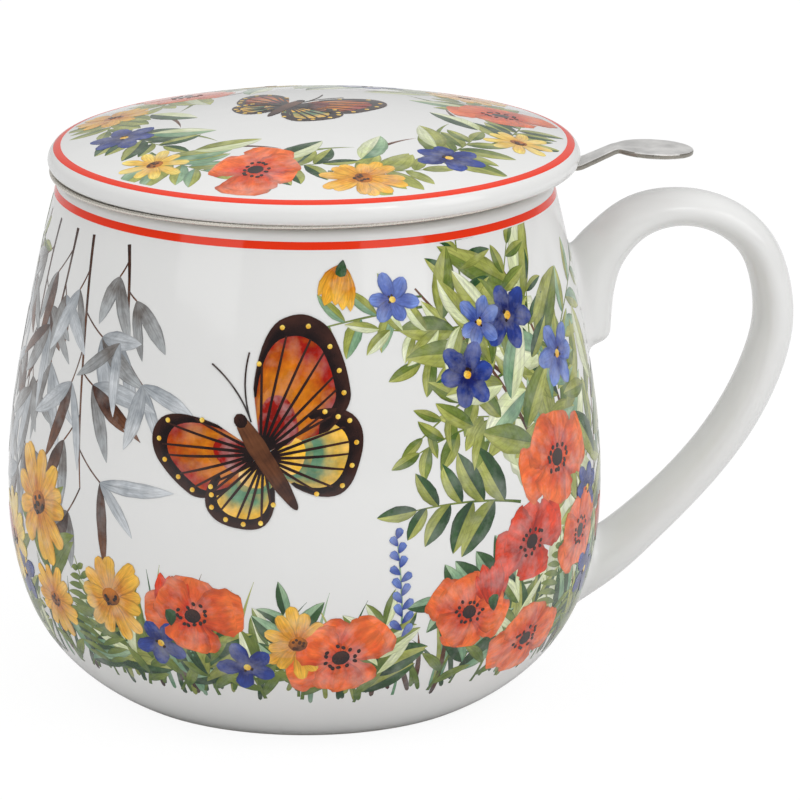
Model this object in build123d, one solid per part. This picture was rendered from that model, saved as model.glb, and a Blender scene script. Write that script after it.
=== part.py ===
"""Lidded tea mug with a lift-out steel infuser.

A bellied porcelain mug with a looped handle, a perforated steel basket that hangs from a
flange on the mug's rim, and a domed porcelain lid that lies on that flange.

Frame: millimetres, +Z up, origin at the centre of the foot ring on the table, handle
along +X.
"""
from build123d import *
import os
from math import asin, ceil, cos, degrees, pi, radians, sin, sqrt

# Mug body: outside line from the foot to the rim.
FOOT_RADIUS = 31.0
FOOT_FLARE = 28.0            # degrees above the table at which the wall leaves the foot
HEEL_RADIUS = 41.3
HEEL_HEIGHT = 8.3
BELLY_RADIUS = 48.3
BELLY_HEIGHT = 33.0
CHEST_RADIUS = 44.7
CHEST_HEIGHT = 62.6
RIM_MID_RADIUS = 38.3        # circle on which the rounded crown stands highest
RIM_HEIGHT = 85.2
RIM_LEAN = 15.5              # degrees by which the wall leans in at the rim
WALL = 3.4
FLOOR_THICKNESS = 4.0
FLOOR_FLAT_RADIUS = 24.0     # flat middle of the floor inside the mug
FOOT_RING_WIDTH = 3.6
FOOT_RECESS_DEPTH = 1.8
FOOT_RECESS_DRAFT = 1.2

# Handle: oval section along a loop that ends in a heel on the wall.
HANDLE_WIDTH = 11.0
HANDLE_THICKNESS = 6.0       # in the loop's plane
HANDLE_ROOT_WIDTH = 13.0
HEEL_END_ROUND = 2.0
HEEL_END_TURNS = (75, 40)    # degrees along the heel end's rounding, from the tip back
HANDLE_SLIP = 0.02           # layer of slip that holds the handle to the wall
# Each station: distance from the mug's wall at that height, height, what is added to the
# thickness, share of the way from the loop's width to the root's width.
HANDLE_STATIONS = [
    (0.5, 57.8, 2.3, 0.9),
    (1.5, 62.5, 2.7, 0.8),
    (3.5, 68.1, 3.0, 0.7),
    (7.2, 72.3, 1.6, 0.5),
    (11.9, 75.7, 0.8, 0.2),
    (19.8, 77.5, 0.0, 0.0),
    (27.2, 75.5, 0.0, 0.0),
    (31.5, 70.8, 0.1, 0.0),
    (32.7, 64.8, 0.3, 0.0),
    (31.9, 57.6, 0.5, 0.0),
    (29.2, 50.9, 0.7, 0.0),
    (22.9, 40.5, 0.8, 0.0),
    (15.2, 31.0, 0.9, 0.0),
    (8.6, 24.0, 1.4, 0.2),
    (2.8, 18.5, 2.6, 0.6),
    (-3.2, 14.6, 4.4, 1.0),
]

# Infuser: stamped flange, rolled wall, dished floor, hoop and finger tab.
SHEET = 0.5
SHEET_FIT = 0.02             # between sheets that are pushed together and spot-welded
FLANGE_OVERHANG = 2.9        # beyond the crown of the mug's rim
FLANGE_THICKNESS = 0.6       # sheet folded back on itself
FLANGE_EDGE_ROUND = 0.25
COLLAR_PLAY = 2.2            # radial, from the collar below the flange to the mug's mouth
COLLAR_DEPTH = 7.0
COLLAR_BEND = 0.9            # inside of the bend from flange to collar
BASKET_DEPTH = 62.0          # from the flange's underside to the basket's lowest edge
WALL_HOLE_RADIUS = 1.05
WALL_HOLE_PITCH = 5.6
WALL_PLAIN_TOP = 4.0         # unpierced sheet below the collar
WALL_PLAIN_BOTTOM = 3.5      # unpierced sheet above the hoop
FLOOR_RIM_HEIGHT = 4.0       # upturned edge of the floor inside the wall
FLOOR_DISH = 1.2             # rise of the floor's middle
FLOOR_HOLE_RADIUS = 1.05
FLOOR_HOLE_PITCH = 6.0
FLOOR_PLAIN_EDGE = 4.0       # unpierced edge of the floor
HOOP_HEIGHT = 5.0
HOOP_THICKNESS = 0.6
HOOP_EDGE_ROUND = 0.2
SEAM_TURN = 180.0            # degrees from the tab to the seam of the wall

# Finger tab: a strip that is welded to the collar and ends in a spoon-shaped paddle.
TAB_THICKNESS = 0.9
TAB_LEG_LENGTH = 8.0         # part of the strip that runs down the collar
TAB_LEG_BEND = 1.2           # radius of the strip's middle where it turns over the rim
TAB_RISE_START = 1.4         # beyond the lid's edge, where the strip turns upward
TAB_RISE_ANGLE = 23.0
TAB_RISE_LENGTH = 6.6
TAB_PADDLE_LENGTH = 12.6
TAB_PADDLE_DROOP = 3.5       # degrees below level, from the neck to the tip
TAB_BEND = 3.0
TAB_STRIP_WIDTH = 5.8
TAB_NECK_WIDTH = 4.6
TAB_PADDLE_WIDTH = 11.4

# Lid: shallow dome with a rounded edge and a locating skirt.
LID_OVERHANG = 1.6           # beyond the infuser's flange
LID_EDGE_ROUND = 2.3         # from the dome over to the widest circle
LID_LOWER_ROUND = 1.5        # from the widest circle to the underside
LID_DOME_EDGE_SLOPE = 15.0
LID_THICKNESS = 3.6
LID_SKIRT_DEPTH = 5.0
LID_SKIRT_WALL = 3.0
LID_SKIRT_ROUND = 1.2
LID_SKIRT_PLAY = 1.7         # radial, inside the infuser's wall
LID_SHIFT = 1.4              # how far the lid lies towards the tab within that play

# How the loose pieces lie.
SEAT_GAP = 0.05              # between surfaces of loose pieces that lie on each other
INFUSER_TURN = -4.0          # degrees about the mug's axis, from the handle to the tab

INNER_STATIONS = (0.2, 0.35, 0.5, 0.75)   # shares of the outside line

crown_radius = WALL / 2
floor_top = FOOT_RECESS_DEPTH + FLOOR_THICKNESS
collar_radius = RIM_MID_RADIUS - crown_radius - COLLAR_PLAY
flange_radius = RIM_MID_RADIUS + FLANGE_OVERHANG
lid_radius = flange_radius + LID_OVERHANG
wall_outer = collar_radius - SHEET - SHEET_FIT
wall_inner = wall_outer - SHEET
basket_bottom = -BASKET_DEPTH
infuser_tilt = degrees(asin(TAB_THICKNESS / (2 * RIM_MID_RADIUS)))
skirt_outer = wall_inner - LID_SKIRT_PLAY


def direction(angle):
    """Unit vector at an angle in degrees above the horizontal."""
    return cos(radians(angle)), sin(radians(angle))


def turned(outline):
    """Solid of revolution about Z from outline edges drawn as (radius, height)."""
    return revolve(Plane.XZ * make_face(outline), Axis.Z)


# ---------------------------------------------------------------- mug body

def crown_point(side):
    """Where the rounded crown meets the wall: side is 1 outside and -1 inside."""
    across, up = direction(RIM_LEAN)
    return (RIM_MID_RADIUS + side * crown_radius * across,
            RIM_HEIGHT - crown_radius + side * crown_radius * up)


def outer_line(grown=0):
    """Outside of the mug from the foot to the start of the rounded crown."""
    corners = [(FOOT_RADIUS, 0), (HEEL_RADIUS, HEEL_HEIGHT), (BELLY_RADIUS, BELLY_HEIGHT),
               (CHEST_RADIUS, CHEST_HEIGHT), crown_point(1)]
    return Spline(*[(radius + grown, height) for radius, height in corners],
                  tangents=[direction(FOOT_FLARE), direction(90 + RIM_LEAN)],
                  tangent_scalars=[1, 1])


def inner_line():
    """Inside of the mug from the floor to the crown, one wall behind the outside."""
    outer = outer_line()
    behind = []
    for station in INNER_STATIONS:
        along = outer % station
        behind.append(outer @ station + Vector(-along.Y, along.X) * WALL)
    return Spline((FLOOR_FLAT_RADIUS, floor_top), *behind, crown_point(-1),
                  tangents=[direction(0), direction(90 + RIM_LEAN)], tangent_scalars=[1, 1])


def wall_radius(height):
    """Outside radius of the mug at a height, which above the crown is the crown's."""
    height = min(height, crown_point(1)[1])
    level = Line((0, height), (2 * BELLY_RADIUS, height))
    return outer_line().intersect(level).vertices()[0].X


def mug_body():
    """Turned wall with a rounded rim, a flat floor and a recessed foot ring."""
    outer, inner = outer_line(), inner_line()
    recess_outer = FOOT_RADIUS - FOOT_RING_WIDTH
    crown = ThreePointArc(crown_point(1), (RIM_MID_RADIUS, RIM_HEIGHT), crown_point(-1))
    floor_and_foot = Polyline(
        inner @ 0, (0, floor_top), (0, FOOT_RECESS_DEPTH),
        (recess_outer - FOOT_RECESS_DRAFT, FOOT_RECESS_DEPTH), (recess_outer, 0), outer @ 0)
    return turned([outer, crown, inner, floor_and_foot])


def mug_outside():
    """The mug with its layer of slip as a filled solid, for cutting what is stuck to it."""
    outer = outer_line(HANDLE_SLIP)
    top = (outer @ 1).Y
    return turned([outer, Polyline(outer @ 1, (0, top), (0, 0), outer @ 0)])


# ---------------------------------------------------------------- handle

def handle_stations():
    """Plane across the handle, width and thickness, at each station of its loop."""
    centres = [Vector(wall_radius(height) + standoff, 0, height)
               for standoff, height, _, _ in HANDLE_STATIONS]
    path = Spline(*centres)
    for centre, (_, _, added, flare) in zip(centres, HANDLE_STATIONS):
        across = Plane(origin=centre, x_dir=(0, 1, 0), z_dir=path.tangent_at(centre))
        width = HANDLE_WIDTH + flare * (HANDLE_ROOT_WIDTH - HANDLE_WIDTH)
        yield across, width, HANDLE_THICKNESS + added


def mug_handle():
    """Oval strand that loops from a rounded heel on the upper wall to a flared lower root."""
    stations = list(handle_stations())
    sections = [across * Ellipse(width / 2, thickness / 2)
                for across, width, thickness in stations]
    heel, width, thickness = stations[0]
    heel_end = []
    for turn in HEEL_END_TURNS:
        run, rise = direction(turn)
        inset = HEEL_END_ROUND * (1 - run)
        tip = heel.offset(-HEEL_END_ROUND * rise)
        heel_end.append(tip * Ellipse(width / 2 - inset, thickness / 2 - inset))
    return loft(sections) + loft([*heel_end, sections[0]]) - mug_outside()


# ---------------------------------------------------------------- infuser

def infuser_flange():
    """Flat ring with a folded edge, turned down into a short collar."""
    collar_inner = collar_radius - SHEET
    outline = make_face(Polyline(
        (collar_radius, 0), (flange_radius, 0), (flange_radius, FLANGE_THICKNESS),
        (collar_inner, FLANGE_THICKNESS), (collar_inner, -COLLAR_DEPTH),
        (collar_radius, -COLLAR_DEPTH), close=True))
    outline = fillet(outline.vertices().group_by(Axis.X)[-1], FLANGE_EDGE_ROUND)
    outline = fillet(outline.vertices().group_by(Axis.X)[0].group_by(Axis.Y)[-1], COLLAR_BEND)
    return revolve(Plane.XZ * outline, Axis.Z)


def wall_hole_rows():
    """Heights of the rows of holes, between the collar and the hoop."""
    highest = -COLLAR_DEPTH - WALL_PLAIN_TOP
    lowest = basket_bottom + HOOP_HEIGHT + WALL_PLAIN_BOTTOM
    row_count = int((highest - lowest) / (WALL_HOLE_PITCH * sqrt(3) / 2)) + 1
    spacing = (highest - lowest) / (row_count - 1)
    return [highest - spacing * row for row in range(row_count)]


def infuser_wall():
    """Rolled tube, pierced in staggered rows that stop at a plain butt-welded seam."""
    height = BASKET_DEPTH - SHEET_FIT
    tube = Pos(0, 0, -height / 2) * (Cylinder(wall_outer, height) - Cylinder(wall_inner, height))
    columns = ceil(2 * pi * wall_outer / WALL_HOLE_PITCH)
    punch = Pos(wall_outer, 0, 0) * Cylinder(WALL_HOLE_RADIUS, 4 * SHEET, rotation=(0, 90, 0))
    punches = []
    for row, level in enumerate(wall_hole_rows()):
        for column in range(1, columns):
            turn = SEAM_TURN + 360 / columns * (column + (row % 2) / 2 - 1 / 4)
            punches.append(Pos(0, 0, level) * Rot(0, 0, turn) * punch)
    return tube - punches


def infuser_floor():
    """Shallow pan inside the foot of the wall, with a domed and pierced middle."""
    outer = wall_inner - SHEET_FIT
    inner = outer - SHEET
    rim = basket_bottom + FLOOR_RIM_HEIGHT
    crest = basket_bottom + FLOOR_DISH
    dish_radius = (inner ** 2 + FLOOR_DISH ** 2) / (2 * FLOOR_DISH)
    under = RadiusArc((0, crest), (inner, basket_bottom), dish_radius)
    over = RadiusArc((0, crest + SHEET), (inner, basket_bottom + SHEET), dish_radius)
    side = Polyline(under @ 1, (outer, basket_bottom), (outer, rim), (inner, rim), over @ 1)
    pan = turned([under, side, over, Line(over @ 0, under @ 0)])
    punch = Pos(0, 0, crest) * Cylinder(FLOOR_HOLE_RADIUS, 4 * (FLOOR_DISH + SHEET))
    punches = [punch]
    rings = int((inner - FLOOR_PLAIN_EDGE) / FLOOR_HOLE_PITCH)
    for ring in range(1, rings + 1):
        for turn in range(6 * ring):
            punches.append(Rot(0, 0, 60 / ring * turn) * Pos(FLOOR_HOLE_PITCH * ring, 0) * punch)
    return pan - punches


def infuser_hoop():
    """Band that is pressed round the foot of the wall and closes the basket."""
    inner = wall_outer + SHEET_FIT
    band = Cylinder(inner + HOOP_THICKNESS, HOOP_HEIGHT) - Cylinder(inner, HOOP_HEIGHT)
    outer_edges = band.edges().filter_by(GeomType.CIRCLE).sort_by(SortBy.RADIUS)[-2:]
    band = fillet(outer_edges, HOOP_EDGE_ROUND)
    return Pos(0, 0, basket_bottom + HOOP_HEIGHT / 2) * band


def tab_middle_line():
    """Middle of the bent strip, and how far out its paddle starts and ends."""
    leg = collar_radius + SHEET_FIT + TAB_THICKNESS / 2
    level = -SHEET_FIT - TAB_THICKNESS / 2
    corner = Vector(lid_radius + TAB_RISE_START, level)
    neck = corner + Vector(*direction(TAB_RISE_ANGLE)) * TAB_RISE_LENGTH
    tip = neck + Vector(*direction(-TAB_PADDLE_DROOP)) * TAB_PADDLE_LENGTH
    return FilletPolyline((leg, -TAB_LEG_LENGTH), (leg, level), corner, neck, tip,
                          radius=[TAB_LEG_BEND, TAB_BEND, TAB_BEND]), neck.X, tip.X


def infuser_tab():
    """Strip from the collar, over the rim and out under the lid to a spoon-shaped paddle."""
    middle, neck, tip = tab_middle_line()
    side = trace(middle, TAB_THICKNESS)
    strip = extrude(Plane.XZ * side, TAB_PADDLE_WIDTH, both=True)
    paddle_middle = (neck + tip) / 2
    waist = make_face(Polyline(
        (0, TAB_STRIP_WIDTH / 2), (lid_radius + TAB_RISE_START, TAB_STRIP_WIDTH / 2),
        (neck, TAB_NECK_WIDTH / 2), (paddle_middle, TAB_NECK_WIDTH / 2),
        (paddle_middle, 0), (0, 0), close=True))
    paddle = Pos(paddle_middle, 0) * Ellipse((tip - neck) / 2, TAB_PADDLE_WIDTH / 2)
    plan = waist + mirror(waist, Plane.XZ) + paddle
    blank = Pos(0, 0, -BASKET_DEPTH) * extrude(plan, 2 * BASKET_DEPTH)
    return strip & blank


# ---------------------------------------------------------------- lid

def lid():
    """Shallow porcelain dome with a rounded edge and a skirt that drops into the basket."""
    run, rise = direction(LID_DOME_EDGE_SLOPE)
    shoulder = (lid_radius - LID_EDGE_ROUND * (1 - rise), LID_LOWER_ROUND + LID_EDGE_ROUND * run)
    dome_radius = shoulder[0] / rise
    dome_centre = shoulder[1] - dome_radius * run
    under_radius = dome_radius - LID_THICKNESS
    skirt_inner = skirt_outer - LID_SKIRT_WALL
    under_edge = dome_centre + sqrt(under_radius ** 2 - skirt_inner ** 2)
    dome = RadiusArc((0, dome_centre + dome_radius), shoulder, dome_radius)
    edge = RadiusArc(shoulder, (lid_radius, LID_LOWER_ROUND), LID_EDGE_ROUND)
    lower = RadiusArc((lid_radius, LID_LOWER_ROUND), (lid_radius - LID_LOWER_ROUND, 0),
                      LID_LOWER_ROUND)
    skirt = Polyline(lower @ 1, (skirt_outer, 0), (skirt_outer, -LID_SKIRT_DEPTH),
                     (skirt_inner, -LID_SKIRT_DEPTH), (skirt_inner, under_edge))
    under = RadiusArc((skirt_inner, under_edge), (0, dome_centre + under_radius), -under_radius)
    outline = make_face([dome, edge, lower, skirt, under, Line(under @ 1, dome @ 0)])
    tip = outline.vertices().group_by(Axis.Y)[0]
    outline = fillet(tip, LID_SKIRT_ROUND)
    return revolve(Plane.XZ * outline, Axis.Z)


# ---------------------------------------------------------------- how the pieces lie

def seated(piece):
    """Place a piece of the infuser as it hangs in the mug, propped up by its strip."""
    height = RIM_HEIGHT + SEAT_GAP + TAB_THICKNESS / 2
    return Pos(0, 0, height) * Rot(0, 0, INFUSER_TURN) * Rot(0, -infuser_tilt, 0) * piece


def lid_seated(piece):
    """Place the lid on the flange, shifted towards the tab."""
    return seated(Pos(LID_SHIFT, 0, FLANGE_THICKNESS + SEAT_GAP) * piece)


nodes = {
    "mug_body": mug_body(),
    "mug_handle": mug_handle(),
    "infuser_flange": seated(infuser_flange()),
    "infuser_wall": seated(infuser_wall()),
    "infuser_floor": seated(infuser_floor()),
    "infuser_hoop": seated(infuser_hoop()),
    "infuser_tab": seated(infuser_tab()),
    "lid": lid_seated(lid()),
}

os.makedirs("parts", exist_ok=True)
for name, solid in nodes.items():
    export_step(solid, f"parts/{name}.step")
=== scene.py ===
"""Looks of the lidded tea mug with its lift-out infuser.

The frame's outlines are drawn again with finer meshes, the handle is blended into the wall,
and the painted flowers are thin strokes that lie on the glaze. Sizes are in millimetres.
"""
from collections import namedtuple
from functools import partial
from math import asin, atan2, cos, degrees, hypot, pi, radians, sin, tan
from random import Random

import bpy
import numpy as np
from mathutils import Matrix, Vector


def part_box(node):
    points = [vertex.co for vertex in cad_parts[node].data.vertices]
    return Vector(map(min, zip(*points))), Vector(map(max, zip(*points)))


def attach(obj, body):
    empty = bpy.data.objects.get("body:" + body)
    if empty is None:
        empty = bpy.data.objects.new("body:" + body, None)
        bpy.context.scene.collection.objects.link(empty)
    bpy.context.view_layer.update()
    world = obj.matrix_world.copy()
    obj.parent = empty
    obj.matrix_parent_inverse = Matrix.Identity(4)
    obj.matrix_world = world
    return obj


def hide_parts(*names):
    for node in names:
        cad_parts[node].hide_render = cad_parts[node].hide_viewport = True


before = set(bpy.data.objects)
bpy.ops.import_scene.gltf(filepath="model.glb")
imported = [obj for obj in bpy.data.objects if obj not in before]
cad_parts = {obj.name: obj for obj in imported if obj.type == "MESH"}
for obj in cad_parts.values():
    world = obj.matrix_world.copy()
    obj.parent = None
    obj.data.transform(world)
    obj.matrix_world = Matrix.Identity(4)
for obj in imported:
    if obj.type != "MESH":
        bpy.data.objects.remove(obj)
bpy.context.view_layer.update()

MM = 0.001

# Mug body.
FOOT_RADIUS = 31.0
FOOT_FLARE = 28.0
HEEL = (41.3, 8.3)
BELLY = (48.3, 33.0)
CHEST = (44.7, 62.6)
RIM_MID_RADIUS = 38.3
RIM_HEIGHT = 85.2
RIM_LEAN = 15.5
WALL = 3.4
FLOOR_TOP = 5.8
FLOOR_FLAT_RADIUS = 24.0
FOOT_RING_WIDTH = 3.6
FOOT_RECESS_DEPTH = 1.8
FOOT_RECESS_DRAFT = 1.2
FOOT_ROUND = 0.45
FOOT_INNER_ROUND = 0.35
FOOT_RECESS_ROUND = 0.5
FOOT_STANDS_ON = 29.0        # middle of the flat ring that the mug stands on
UNGLAZED_REACH = 2.6         # bare porcelain on both sides of it
OUTSIDE_START = 0.012        # share of the outside line that is left to the foot's rounding
INNER_STATIONS = (0.2, 0.35, 0.5, 0.75)   # shares of the outside line

# Handle: distance from the wall, height, thickness in the loop's plane, width across it.
HANDLE_STATIONS = [
    (0.5, 57.8, 8.3, 12.8),
    (1.5, 62.5, 8.7, 12.6),
    (3.5, 68.1, 9.0, 12.4),
    (7.2, 72.3, 7.6, 12.0),
    (11.9, 75.7, 6.8, 11.4),
    (19.8, 77.5, 6.0, 11.0),
    (27.2, 75.5, 6.0, 11.0),
    (31.5, 70.8, 6.1, 11.0),
    (32.7, 64.8, 6.3, 11.0),
    (31.9, 57.6, 6.5, 11.0),
    (29.2, 50.9, 6.7, 11.0),
    (22.9, 40.5, 6.8, 11.0),
    (15.2, 31.0, 6.9, 11.0),
    (8.6, 24.0, 7.4, 11.4),
    (2.8, 18.5, 8.6, 12.2),
    (-3.2, 14.6, 10.4, 13.0),
]
HANDLE_END_ROUND = 2.6
HANDLE_BLEND = 2.2           # width of the hollow fillet between handle and wall
HANDLE_SUNK = 0.4            # how far the handle's foot reaches into the wall
HANDLE_DIVE = 0.02           # how strongly the fillet's thin edge dips into the wall
HANDLE_DIVE_WIDTH = 0.8
HANDLE_GRID = 0.5
HANDLE_SLOPE_REACH = 0.02
HANDLE_MARGINS = ((6, 5, 5), (3, 5, 5))   # room for the grid below and above the handle's box

# Infuser and lid.
SEAT_GAP = 0.05
SHEET_FIT = 0.02
FLANGE_THICKNESS = 0.6
COLLAR_RADIUS = 34.4
TAB_THICKNESS = 0.9
TAB_LEG_LENGTH = 8.0
TAB_LEG_BEND = 1.2
TAB_RISE_START = 1.4
TAB_RISE_ANGLE = 23.0
TAB_RISE_LENGTH = 6.6
TAB_PADDLE_LENGTH = 12.6
TAB_PADDLE_DROOP = 3.5
TAB_BEND = 3.0
TAB_STRIP_WIDTH = 5.8
TAB_NECK_WIDTH = 4.6
TAB_PADDLE_WIDTH = 11.4
TAB_EDGE_ROUND = 0.32
TAB_SLOPE_REACH = 0.3        # half the length over which the strip's slope is taken
TAB_TIP_WIDTH = 0.1
TAB_SHADED_EDGE_START = 42.0         # beyond this x the strip's edge faces get a darker steel as painted shade
TAB_SHADED_EDGE_SLOPE = 0.6          # a face whose normal rises less than this belongs to the edge
INFUSER_TURN = -4.0
LID_RADIUS = 42.8
LID_EDGE_ROUND = 2.3
LID_LOWER_ROUND = 1.5
LID_DOME_EDGE_SLOPE = 15.0
LID_THICKNESS = 3.6
LID_SKIRT_RADIUS = 31.68
LID_SKIRT_WALL = 3.0
LID_SKIRT_DEPTH = 5.0
LID_SKIRT_ROUND = 1.2
LID_SKIRT_INNER_ROOT = 1.0   # roundings where the skirt meets the lid
LID_SKIRT_OUTER_ROOT = 0.6
LID_UNDERSIDE_RADIUS = 40.0
LID_SHIFT = 1.4

MUG_RING = (82.2, 83.4)      # heights of the printed ring's edges
LID_RING = (41.9, 40.5)      # radii of the printed ring's edges on the lid
RING_LIFT = 0.025
RING_SUNK = 0.06

SEGMENTS = 256

INFUSER_SEAT = (Matrix.Translation((0, 0, RIM_HEIGHT + SEAT_GAP + TAB_THICKNESS / 2))
                @ Matrix.Rotation(radians(INFUSER_TURN), 4, "Z")
                @ Matrix.Rotation(-asin(TAB_THICKNESS / (2 * RIM_MID_RADIUS)), 4, "Y"))
LID_SEAT = INFUSER_SEAT @ Matrix.Translation((LID_SHIFT, 0, FLANGE_THICKNESS + SEAT_GAP))


# ---------------------------------------------------------------- curves and meshes

def direction(angle):
    """Unit vector at an angle in degrees."""
    return np.array([cos(radians(angle)), sin(radians(angle))])


def unit(vectors):
    """Vectors scaled to length one."""
    return vectors / np.linalg.norm(vectors, axis=-1, keepdims=True)


def run_along(points):
    """Length of a line of plan points up to each of them."""
    return np.concatenate([[0], np.cumsum(np.hypot(*np.diff(points, axis=0).T))])


def between(at, stations, pairs):
    """Pairs of values at places between stations."""
    return np.stack([np.interp(at, stations, pairs[:, k]) for k in (0, 1)], -1)


def neighbours(grid, axis):
    """A grid without its last layer along an axis, and without its first."""
    size = grid.shape[axis]
    return np.take(grid, range(size - 1), axis), np.take(grid, range(1, size), axis)


def spline(points, ends=None):
    """Smooth curve through points: a function of shares that gives places and slopes.

    The first two columns set the spacing of the knots. The ends are the slopes there.
    """
    points = np.array(points, float)
    step = np.hypot(*np.diff(points[:, :2], axis=0).T)
    knots = np.concatenate([[0], np.cumsum(step)])
    chords = np.diff(points, axis=0) / step[:, None]
    size = len(points)
    system = np.eye(size)
    target = np.zeros_like(points)
    target[0], target[-1] = ends or (chords[0], chords[-1])
    for i in range(1, size - 1):
        system[i, i - 1:i + 2] = step[i], 2 * (step[i - 1] + step[i]), step[i - 1]
        target[i] = 3 * (step[i] * chords[i - 1] + step[i - 1] * chords[i])
    slopes = np.linalg.solve(system, target)

    def at(shares):
        """Places and slopes at shares of the curve's length."""
        along = np.clip(np.atleast_1d(shares), 0, 1) * knots[-1]
        i = np.clip(np.searchsorted(knots, along, side="right") - 1, 0, size - 2)
        h = step[i][:, None]
        t = (along - knots[i])[:, None] / h
        place = ((1 + 2 * t) * (1 - t) ** 2 * points[i] + t * (1 - t) ** 2 * h * slopes[i]
                 + t * t * (3 - 2 * t) * points[i + 1] + t * t * (t - 1) * h * slopes[i + 1])
        slope = (6 * t * (t - 1) * (points[i] - points[i + 1]) / h
                 + (1 - t) * (1 - 3 * t) * slopes[i] + t * (3 * t - 2) * slopes[i + 1])
        return place, slope
    return at


def arc(centre, radius, start, end, count):
    """Points on an arc between two angles in degrees, ends included."""
    turns = np.radians(np.linspace(start, end, count))
    return np.array(centre) + radius * np.stack([np.cos(turns), np.sin(turns)], 1)


def rounded(before, corner, after, radius, count=6):
    """Arc that rounds a corner between two straight lines."""
    before, corner, after = (np.array(p, float) for p in (before, corner, after))
    back, ahead = unit(before - corner), unit(after - corner)
    half = 0.5 * np.arccos(np.clip(back @ ahead, -1, 1))
    centre = corner + unit(back + ahead) * radius / sin(half)
    first = corner + back * radius / tan(half) - centre
    last = corner + ahead * radius / tan(half) - centre
    start = atan2(first[1], first[0])
    sweep = (atan2(last[1], last[0]) - start + pi) % (2 * pi) - pi
    return arc(centre, radius, degrees(start), degrees(start + sweep), count)


def add_mesh(name, vertices, faces, materials, face_materials=None, normals=None, sharp=40):
    """Object from vertices in millimetres, smooth apart from edges sharper than an angle."""
    mesh = bpy.data.meshes.new(name)
    mesh.from_pydata((np.asarray(vertices) * MM).tolist(), [], faces)
    for material in materials:
        mesh.materials.append(material)
    mesh.polygons.foreach_set("use_smooth", [True] * len(mesh.polygons))
    if face_materials is not None:
        mesh.polygons.foreach_set("material_index", face_materials)
    if normals is None:
        mesh.set_sharp_from_angle(angle=radians(sharp))
    else:
        mesh.normals_split_custom_set_from_vertices(np.asarray(normals).tolist())
    mesh.validate()
    mesh.update()
    made = bpy.data.objects.new(name, mesh)
    bpy.context.scene.collection.objects.link(made)
    return made


def moved(points, seat):
    """Points in millimetres after a seat's turn and shift."""
    matrix = np.array(seat)
    return np.asarray(points) @ matrix[:3, :3].T + matrix[:3, 3]


def turned(name, outline, materials, line_materials=None, seat=Matrix.Identity(4), closed=False):
    """Mesh of revolution. An open outline starts and ends on the axis, a closed one is a band."""
    rings = outline if closed else outline[1:-1]
    turns = 2 * pi * np.arange(SEGMENTS) / SEGMENTS
    wall = np.stack([np.outer(rings[:, 0], np.cos(turns)), np.outer(rings[:, 0], np.sin(turns)),
                     np.repeat(rings[:, 1, None], SEGMENTS, 1)], 2).reshape(-1, 3)
    grid = np.arange(len(wall)).reshape(len(rings), SEGMENTS)
    beside = np.roll(grid, -1, 1)
    quads = np.stack([grid, beside, np.roll(beside, -1, 0), np.roll(grid, -1, 0)], 2)
    faces = quads[:None if closed else -1].reshape(-1, 4).tolist()
    if not closed:
        bottom, top = len(wall), len(wall) + 1
        faces += [(bottom, b, a) for a, b in zip(grid[0].tolist(), beside[0].tolist())]
        faces += [(a, b, top) for a, b in zip(grid[-1].tolist(), beside[-1].tolist())]
        wall = np.concatenate([wall, [[0, 0, outline[0, 1]], [0, 0, outline[-1, 1]]]])
    if line_materials:
        first, *rest, last = line_materials
        line_materials = np.repeat([*rest[:-1], first, last], SEGMENTS)
    return add_mesh(name, moved(wall, seat), faces, materials, line_materials)


# ---------------------------------------------------------------- outlines

def crown_end(side):
    """Where the rim's rounding meets the wall: side is 1 outside and -1 inside."""
    across, up = direction(RIM_LEAN)
    return np.array([RIM_MID_RADIUS + side * WALL / 2 * across,
                     RIM_HEIGHT - WALL / 2 + side * WALL / 2 * up])


OUTER = spline([(FOOT_RADIUS, 0), HEEL, BELLY, CHEST, crown_end(1)],
               (direction(FOOT_FLARE), direction(90 + RIM_LEAN)))
OUTER_POINTS, OUTER_SLOPES = OUTER(np.linspace(0, 1, 2001))
OUTER_RUN = run_along(OUTER_POINTS)


def wall_radius(height):
    """Outside radius of the mug at a height."""
    return np.interp(height, OUTER_POINTS[:, 1], OUTER_POINTS[:, 0])


def wall_run(height):
    """Length of the outside line from the foot up to a height."""
    return np.interp(height, OUTER_POINTS[:, 1], OUTER_RUN)


def wall_frame(run):
    """Radius, height and outward direction of the wall at a length along its outside line."""
    place = between(run, OUTER_RUN, OUTER_POINTS)
    along = unit(between(run, OUTER_RUN, OUTER_SLOPES))
    return place[..., 0], place[..., 1], along[..., 1], -along[..., 0]


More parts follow.
